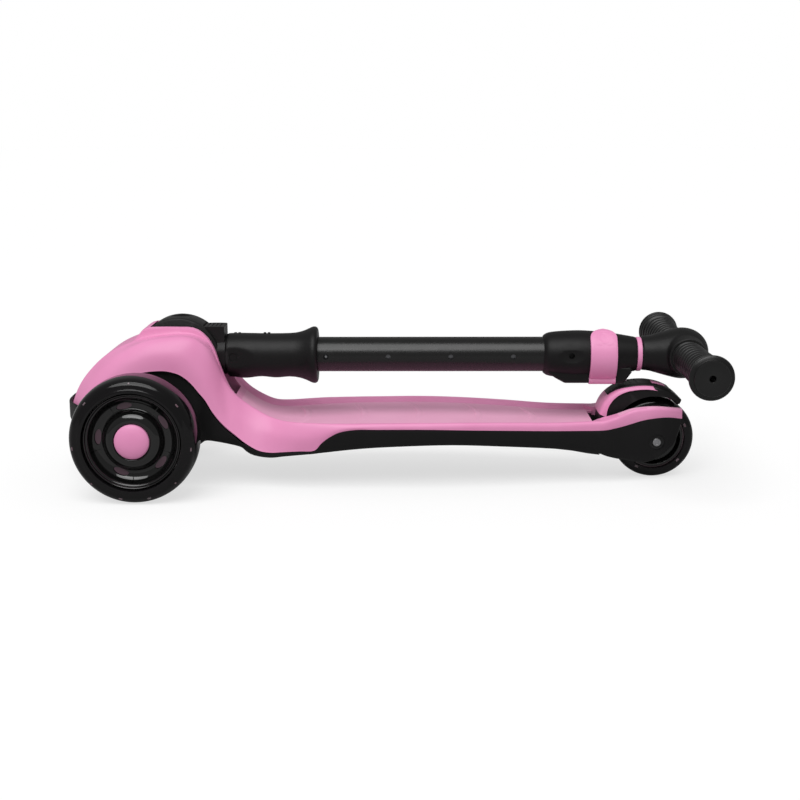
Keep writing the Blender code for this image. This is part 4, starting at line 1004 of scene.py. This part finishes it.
def build_stem():
    at = (0, 0, STEM_Z)
    x_axis = (1, 0, 0)
    recess = [(-4, 0), (-4, 5.4), (3.0, 4.4), (4.2, 3.8), (4.2, 0)]
    sleeve = piece("stem_grip_sleeve", sleeve_skin, COARSE)
    combine(sleeve, "UNION", sleeve_studs)
    combine(
        sleeve, "DIFFERENCE",
        lambda bm: rod(bm, at, x_axis, 80, 180, 17.1, 96),
        lambda bm: turn(bm, recess, (83.6, -22, STEM_Z), (0, 1, 0)),
    )
    belongs(sleeve, "stem", "black_plastic", "stem_sleeve")
    outer, inner = FRAME_TUBE_R
    wall = [(80.5, outer), (80.5, inner), (404, inner), (404, outer)]
    tube = piece("stem_outer_tube", lambda bm: turn(bm, wall, at, x_axis, 96, True), COATED)
    holes = [lambda bm, x=x: rod(bm, (x, 0, STEM_Z), (0, -1, 0), 10, 22, 2.5, 32) for x in TUBE_HOLES]
    combine(tube, "DIFFERENCE", *holes)
    belongs(soften(tube, 0.35, 2, 50), "stem", "black_paint", "stem_tube")


CLAMP = [
    (387, 17.9), (387.4, 18.7), (391, 20.9), (398, 22.2), (411, 23.1), (425, 23.3), (443, 22),
    (459.5, 19.9), (474, 17.4), (477, 16.7), (477.6, 16.2),
]


def facets(bm):
    """A shallow scallop on each side of the clamp, ahead of the lever."""
    for s in (-1, 1):
        place = Matrix.Translation((411, s * 32.4, STEM_Z + 2)) @ Matrix.Diagonal((27, 11.0, 18, 1))
        bmesh.ops.create_uvsphere(bm, u_segments=64, v_segments=32, radius=1.0, matrix=place)


def build_clamp():
    at = (0, 0, STEM_Z)
    x_axis = (1, 0, 0)
    profile = [(387, 0)] + curve(CLAMP, 4) + [(477.6, 0)]
    body = piece("clamp_shell", lambda bm: turn(bm, profile, at, x_axis, 96), BLACK)
    lug = [
        (390, 110), (391, 105.4), (399, 100.4), (406.5, 96.3), (408.4, 95.8), (463, 95.8), (465.5, 96.4),
        (472.6, 106.2), (473, 112),
    ]
    jaw = piece("lug", lambda bm: prism(bm, lug, -15.8, 13), hidden=True)
    settle(soften(jaw, 2.6, 4, 60))
    tool = jaw.data.copy()
    bpy.data.objects.remove(jaw)

    def lug_shape(bm):
        bm.from_mesh(tool)
        bmesh.ops.scale(bm, verts=bm.verts, vec=(1000, 1000, 1000))
        bmesh.ops.translate(bm, verts=bm.verts, vec=(MIDDLE_X, 0, 0))

    combine(body, "UNION", lug_shape)
    y, z = -11.5, 99.0
    combine(
        body, "DIFFERENCE",
        lambda bm: rod(bm, at, x_axis, 380, 404.4, 17.1, 96),
        lambda bm: rod(bm, at, x_axis, 400, 490, 15.0, 96),
        lambda bm: block(bm, 430.5, 457.5, -30, -6.3, 90, 104.6),
        lambda bm: rod(bm, (0, y, z), x_axis, 420, 468.5, 2.1),
        lambda bm: rod(bm, (444, 0, z), (0, 1, 0), -8, 20, 2.6),
        lambda bm: block(bm, 415, 480, -0.9, 0.9, 90, 112),
        lambda bm: rod(bm, (413, 0, STEM_Z + 1.6), (0, -1, 0), 17, 26, 2.9),
        facets,
    )
    belongs(body, "stem", "black_plastic", "clamp_body")


def lever_band(bm):
    """A band that wraps the clamp, with a rounded thumb end and shallow curved ridges."""
    rings = []
    for k in range(91):
        turned = 18 + 147 * k / 90
        a = math.radians(turned)
        half = 13.0
        if turned > 136:
            half *= math.sqrt(max(0.02, 1 - ((turned - 136) / 29.5) ** 2))
        ring = [(-half, 24.0), (-half, 25.6), (-half + 0.25 * min(1, half / 4), 26.5)]
        for n in range(15):
            t = -1 + 2 * n / 14
            x = t * (half - min(1.2, half * 0.3))
            far = math.hypot(x, (turned - 136) * 0.46)
            ridge = 0.5 * (0.5 + 0.5 * math.cos(far * 2.1)) if 4.5 < far < 11.2 and turned > 118 else 0.0
            dip = 0.5 * math.exp(-((turned - 128) / 16) ** 2) * (1 - t * t)
            ring.append((x, 26.9 + 0.3 * (1 - t * t) - dip + ridge))
        ring += [(half - 0.25 * min(1, half / 4), 26.5), (half, 25.6), (half, 24.0)]
        rings.append([(444 + x, -r * math.sin(a), STEM_Z - r * math.cos(a)) for x, r in ring])
    skin(bm, rings)


def build_lever():
    y, z = -11.5, 99.0
    lever = piece("clamp_lever_band", lever_band, PINK)
    combine(lever, "UNION", lambda bm: rod(bm, (444, y, z), (1, 0, 0), -12.9, 12.9, 4.5))
    combine(lever, "DIFFERENCE", lambda bm: rod(bm, (444, y, z), (1, 0, 0), -16, 16, 2.1))
    belongs(lever, "clamp_lever", "pink_plastic", "quick_release_lever")


# Handlebar ------------------------------------------------------------------------------------

TEE = [
    (483, 16.3), (484, 16.8), (491, 17.5), (500, 20), (510, 22.8), (519, 24.8), (526, 25), (533, 23.4),
    (539, 20.3), (544, 15.6), (547.5, 9.6), (548.6, 4.6), (549, 0),
]


def build_tee():
    bar = (BAR[0], 0, BAR[1])
    collar = [
        (-30.2, 0), (-30.2, 17.2), (-27, 17.9), (-18, 19.2), (0, 21.5), (18, 19.2), (27, 17.9),
        (30.2, 17.2), (30.2, 0),
    ]
    body = [(483, 0)] + curve(TEE, 3)
    tee = piece("tee_joint", lambda bm: turn(bm, body, (0, 0, BAR[1] - 0.6), (1, 0, 0), 64), COARSE)
    combine(tee, "UNION", lambda bm: turn(bm, collar, bar, (0, 1, 0), 64))
    step = tee.modifiers.new("one_skin", "REMESH")
    step.mode, step.voxel_size, step.use_smooth_shade = "VOXEL", 0.9 * MM, True
    step = tee.modifiers.new("blend_joint", "SMOOTH")
    step.factor, step.iterations = 0.5, 14
    settle(tee)
    rim = [(27.5, 0), (27.5, 17.3), (28.2, 18.0), (29.8, 18.0), (30.4, 17.4), (30.4, 0)]
    combine(tee, "UNION", *[lambda bm, s=s: turn(bm, rim, bar, (0, s, 0), 96) for s in (-1, 1)])
    combine(
        tee, "DIFFERENCE",
        lambda bm: rod(bm, bar, (0, 1, 0), -40, 40, 11.1, 64),
        lambda bm: rod(bm, (0, 0, STEM_Z), (1, 0, 0), 480, 508.4, 14.8, 64),
    )
    belongs(tee, "handlebar", "black_plastic", "tee")


def grip(side):
    def build(bm):
        profile = [(31, 11.45), (31, 15.0), (31.6, 15.9), (33.6, 15.9), (34.4, 15.0)]
        for k in range(9):
            y = 35.4 + 9.3 * k
            r = 14.0 + 2.4 * (max(0, y - 66) / 54) ** 2
            profile += [
                (y, r - 0.3), (y + 0.6, r + 0.9), (y + 1.6, r + 1.7), (y + 3.2, r + 2.0),
                (y + 5.0, r + 1.8), (y + 6.4, r + 1.1), (y + 7.2, r - 0.3),
            ]
        profile += [
            (119.4, 16.4), (120.4, 18.2), (122.4, 18.8), (123.4, 17.2), (124.3, 17.2), (125.2, 19.4),
            (127.0, 19.9), (128.0, 18.1),
        ]
        profile += [
            (128.9, 18.1), (129.8, 20.3), (131.4, 20.75), (133.0, 20.4), (133.8, 19.3), (134.2, 17.6),
            (134.6, 16.7), (136, 16.5),
        ]
        profile += [(136.8, 15.9), (137, 14.9), (137, 3.4), (136.5, 3), (133, 3), (133, 10), (129.6, 11.45)]
        turn(bm, profile, (BAR[0], 0, BAR[1]), (0, side, 0), 96, True)

    return build


def build_handlebar():
    at = (0, 0, STEM_Z)
    x_axis = (1, 0, 0)
    inner = [(150, 14.7), (150, 12.9), (508, 12.9), (508, 14.7)]
    # The inner tube's dark steel is painted shade in the height holes.
    tube = piece("stem_inner_tube", lambda bm: turn(bm, inner, at, x_axis, 96, True), HOLE_SHADE_STEEL)
    combine(tube, "DIFFERENCE", lambda bm: rod(bm, (TUBE_HOLES[0], 0, STEM_Z), (0, -1, 0), 8, 20, 2.4))
    belongs(tube, "handlebar", "steel", "inner_tube")
    ring = [(478, 15), (482.6, 15), (482.6, 16.3), (482.1, 16.8), (478.5, 16.8), (478, 16.3)]
    made = piece("stem_ring", lambda bm: turn(bm, ring, at, x_axis, 96, True), PINK)
    belongs(soften(made, 0.3), "handlebar", "pink_plastic", "collar_ring")
    bar = [(-129, 11), (-129, 9.4), (129, 9.4), (129, 11)]
    made = piece("crossbar_tube", lambda bm: turn(bm, bar, (BAR[0], 0, BAR[1]), (0, 1, 0), 64, True), STEEL)
    belongs(made, "handlebar", "steel", "crossbar")
    build_tee()
    for side, name in SIDES:
        made = piece("grip_sleeve_" + name, grip(side), RUBBER)
        belongs(made, "handlebar", "grip_rubber", "grip_" + name)


# Fasteners and steel parts --------------------------------------------------------------------------


def build_axle_bolt():
    centre = (REAR_AXLE[0], 0, REAR_AXLE[1])
    shaft = [
        (-30.2, 0), (-30.2, 3.1), (-29.9, 3.8), (-29.2, 4.2), (-28.2, 4.4), (-28.2, 4), (30.4, 4),
        (30.6, 3.8), (30.6, 0),
    ]
    bolt = piece("rear_axle_bolt", lambda bm: turn(bm, shaft, centre, (0, 1, 0), 48), STEEL)
    socket = [(-31, 0), (-31, 2.3), (-28.9, 2.3), (-28.6, 0)]
    combine(bolt, "DIFFERENCE", lambda bm: turn(bm, socket, centre, (0, 1, 0), 6))
    belongs(bolt, "chassis", "steel", "rear_axle")


POLISHED = {
    "chassis": ["steering_bridge", "kingpin_left", "kingpin_right", "hinge_bracket", "fold_pivot_pin",
        "deck_screw_front",
                "deck_screw_rear", "rear_axle_nut", "brake_pin", "brake_spring", "centring_spring_left",
                    "centring_spring_right"],
    "steering_left": ["knuckle_left", "stub_axle_left", "axle_nut_left"],
    "steering_right": ["knuckle_right", "stub_axle_right", "axle_nut_right"],
    "tie_bar": ["tie_rod"],
    "front_wheel_left": ["bearing_inner_left", "bearing_outer_left"],
    "front_wheel_right": ["bearing_inner_right", "bearing_outer_right"],
    "rear_wheel": ["bearing_rear_left", "bearing_rear_right"],
    "stem": ["clamp_bolt", "cam_pin", "release_spring"],
    "detent": ["height_button"],
}


def polish(node, body):
    """A merged copy of a CAD part with broken edges."""
    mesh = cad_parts[node].data.copy()
    bm = bmesh.new()
    bm.from_mesh(mesh)
    bmesh.ops.remove_doubles(bm, verts=bm.verts, dist=1e-6)
    bmesh.ops.dissolve_limit(bm, angle_limit=math.radians(1), verts=bm.verts, edges=bm.edges)
    bm.to_mesh(mesh)
    bm.free()
    made = bpy.data.objects.new(node + "_metal", mesh)
    bpy.context.scene.collection.objects.link(made)
    mesh.materials.clear()
    slot_name = "black_plastic" if node == "steering_bridge" else "steel"
    mesh.materials.append(BLACK if slot_name == "black_plastic" else STEEL)
    shade(mesh)
    if "spring" not in node:
        soften(made, 0.25, 2, 40)
    belongs(made, body, slot_name, node)


# Staging --------------------------------------------------------------------------------------------------


def light(name, place, target, size, power, colour=(1, 1, 1)):
    lamp = bpy.data.lights.new(name, "AREA")
    lamp.shape, lamp.size, lamp.size_y = "RECTANGLE", size[0], size[1]
    lamp.energy, lamp.color = power, colour
    obj = bpy.data.objects.new(name, lamp)
    obj.location = place
    obj.rotation_euler = (Vector(target) - Vector(place)).to_track_quat("-Z", "Y").to_euler()
    bpy.context.scene.collection.objects.link(obj)


def build_stage():
    mesh = bpy.data.meshes.new("studio_floor")
    bm = bmesh.new()
    bmesh.ops.create_grid(bm, x_segments=1, y_segments=1, size=12.0)
    bm.to_mesh(mesh)
    bm.free()
    floor = bpy.data.objects.new("studio_floor", mesh)
    bpy.context.scene.collection.objects.link(floor)
    paper = bpy.data.materials.new("studio_paper")
    paper.use_nodes = True
    tree = paper.node_tree
    shader = tree.nodes["Principled BSDF"]
    shader.inputs["Base Color"].default_value = (0.36, 0.36, 0.36, 1)
    shader.inputs["Roughness"].default_value = 0.9
    shader.inputs["Specular IOR Level"].default_value = 0.0
    shader.inputs["Emission Color"].default_value = (1, 1, 1, 1)
    seen = tree.nodes.new("ShaderNodeLightPath").outputs["Is Camera Ray"]
    tree.links.new(spread(tree, seen, 0.05, 0.66), shader.inputs["Emission Strength"])
    mesh.materials.append(paper)
    world = bpy.data.worlds.new("studio_air")
    world.use_nodes = True
    air = world.node_tree
    air.nodes["Background"].inputs["Color"].default_value = (1, 1, 1, 1)
    # White to the camera, softer in diffuse light and softest in reflections.
    ray = air.nodes.new("ShaderNodeLightPath")
    level = air.nodes.new("ShaderNodeMath")
    level.operation = "MULTIPLY_ADD"
    level.inputs[1].default_value, level.inputs[2].default_value = 0.75, 0.25
    air.links.new(ray.outputs["Is Camera Ray"], level.inputs[0])
    soft = air.nodes.new("ShaderNodeMath")
    soft.operation = "MULTIPLY_ADD"
    soft.inputs[1].default_value = 0.17
    air.links.new(ray.outputs["Is Diffuse Ray"], soft.inputs[0])
    air.links.new(level.outputs[0], soft.inputs[2])
    air.links.new(soft.outputs[0], air.nodes["Background"].inputs["Strength"])
    bpy.context.scene.world = world
    bpy.context.scene.view_settings.view_transform = "Standard"
    sky = bpy.data.lights.new("overhead_sky", "SUN")
    sky.energy, sky.angle = 2.0, math.radians(50)
    lamp = bpy.data.objects.new("overhead_sky", sky)
    lamp.rotation_euler = (math.radians(33), math.radians(-8), 0)
    bpy.context.scene.collection.objects.link(lamp)
    light("front_softbox", (-0.35, -1.3, 1.25), (0, 0, 0.08), (0.9, 0.4), 1.6)


def build_camera():
    """The view from the rider's left, a little above the deck."""
    data = bpy.data.cameras.new("view")
    data.sensor_width = 36.0
    data.lens = 60.67
    data.shift_x, data.shift_y = 0.0106, -0.0046
    cam = bpy.data.objects.new("view", data)
    azimuth, elevation, roll = math.radians(0.711), math.radians(11.964), math.radians(-0.158)
    level = math.cos(elevation)
    back = Vector((math.sin(azimuth) * level, -math.cos(azimuth) * level, math.sin(elevation)))
    cam.location = (0.01896, -1.31025, 0.35735)
    turned = (-back).to_track_quat("-Z", "Y").to_matrix().to_4x4() @ Matrix.Rotation(roll, 4, "Z")
    cam.rotation_euler = turned.to_euler()
    bpy.context.scene.collection.objects.link(cam)
    bpy.context.scene.camera = cam


build_camera()
build_stage()
build_shell()
build_chassis()
for side, name in SIDES:
    build_front_wheel(side, name)
build_rear_wheel()
build_brake()
build_hinge()
build_stem()
build_clamp()
build_lever()
build_handlebar()
build_axle_bolt()
for body, nodes in POLISHED.items():
    for node in nodes:
        polish(node, body)
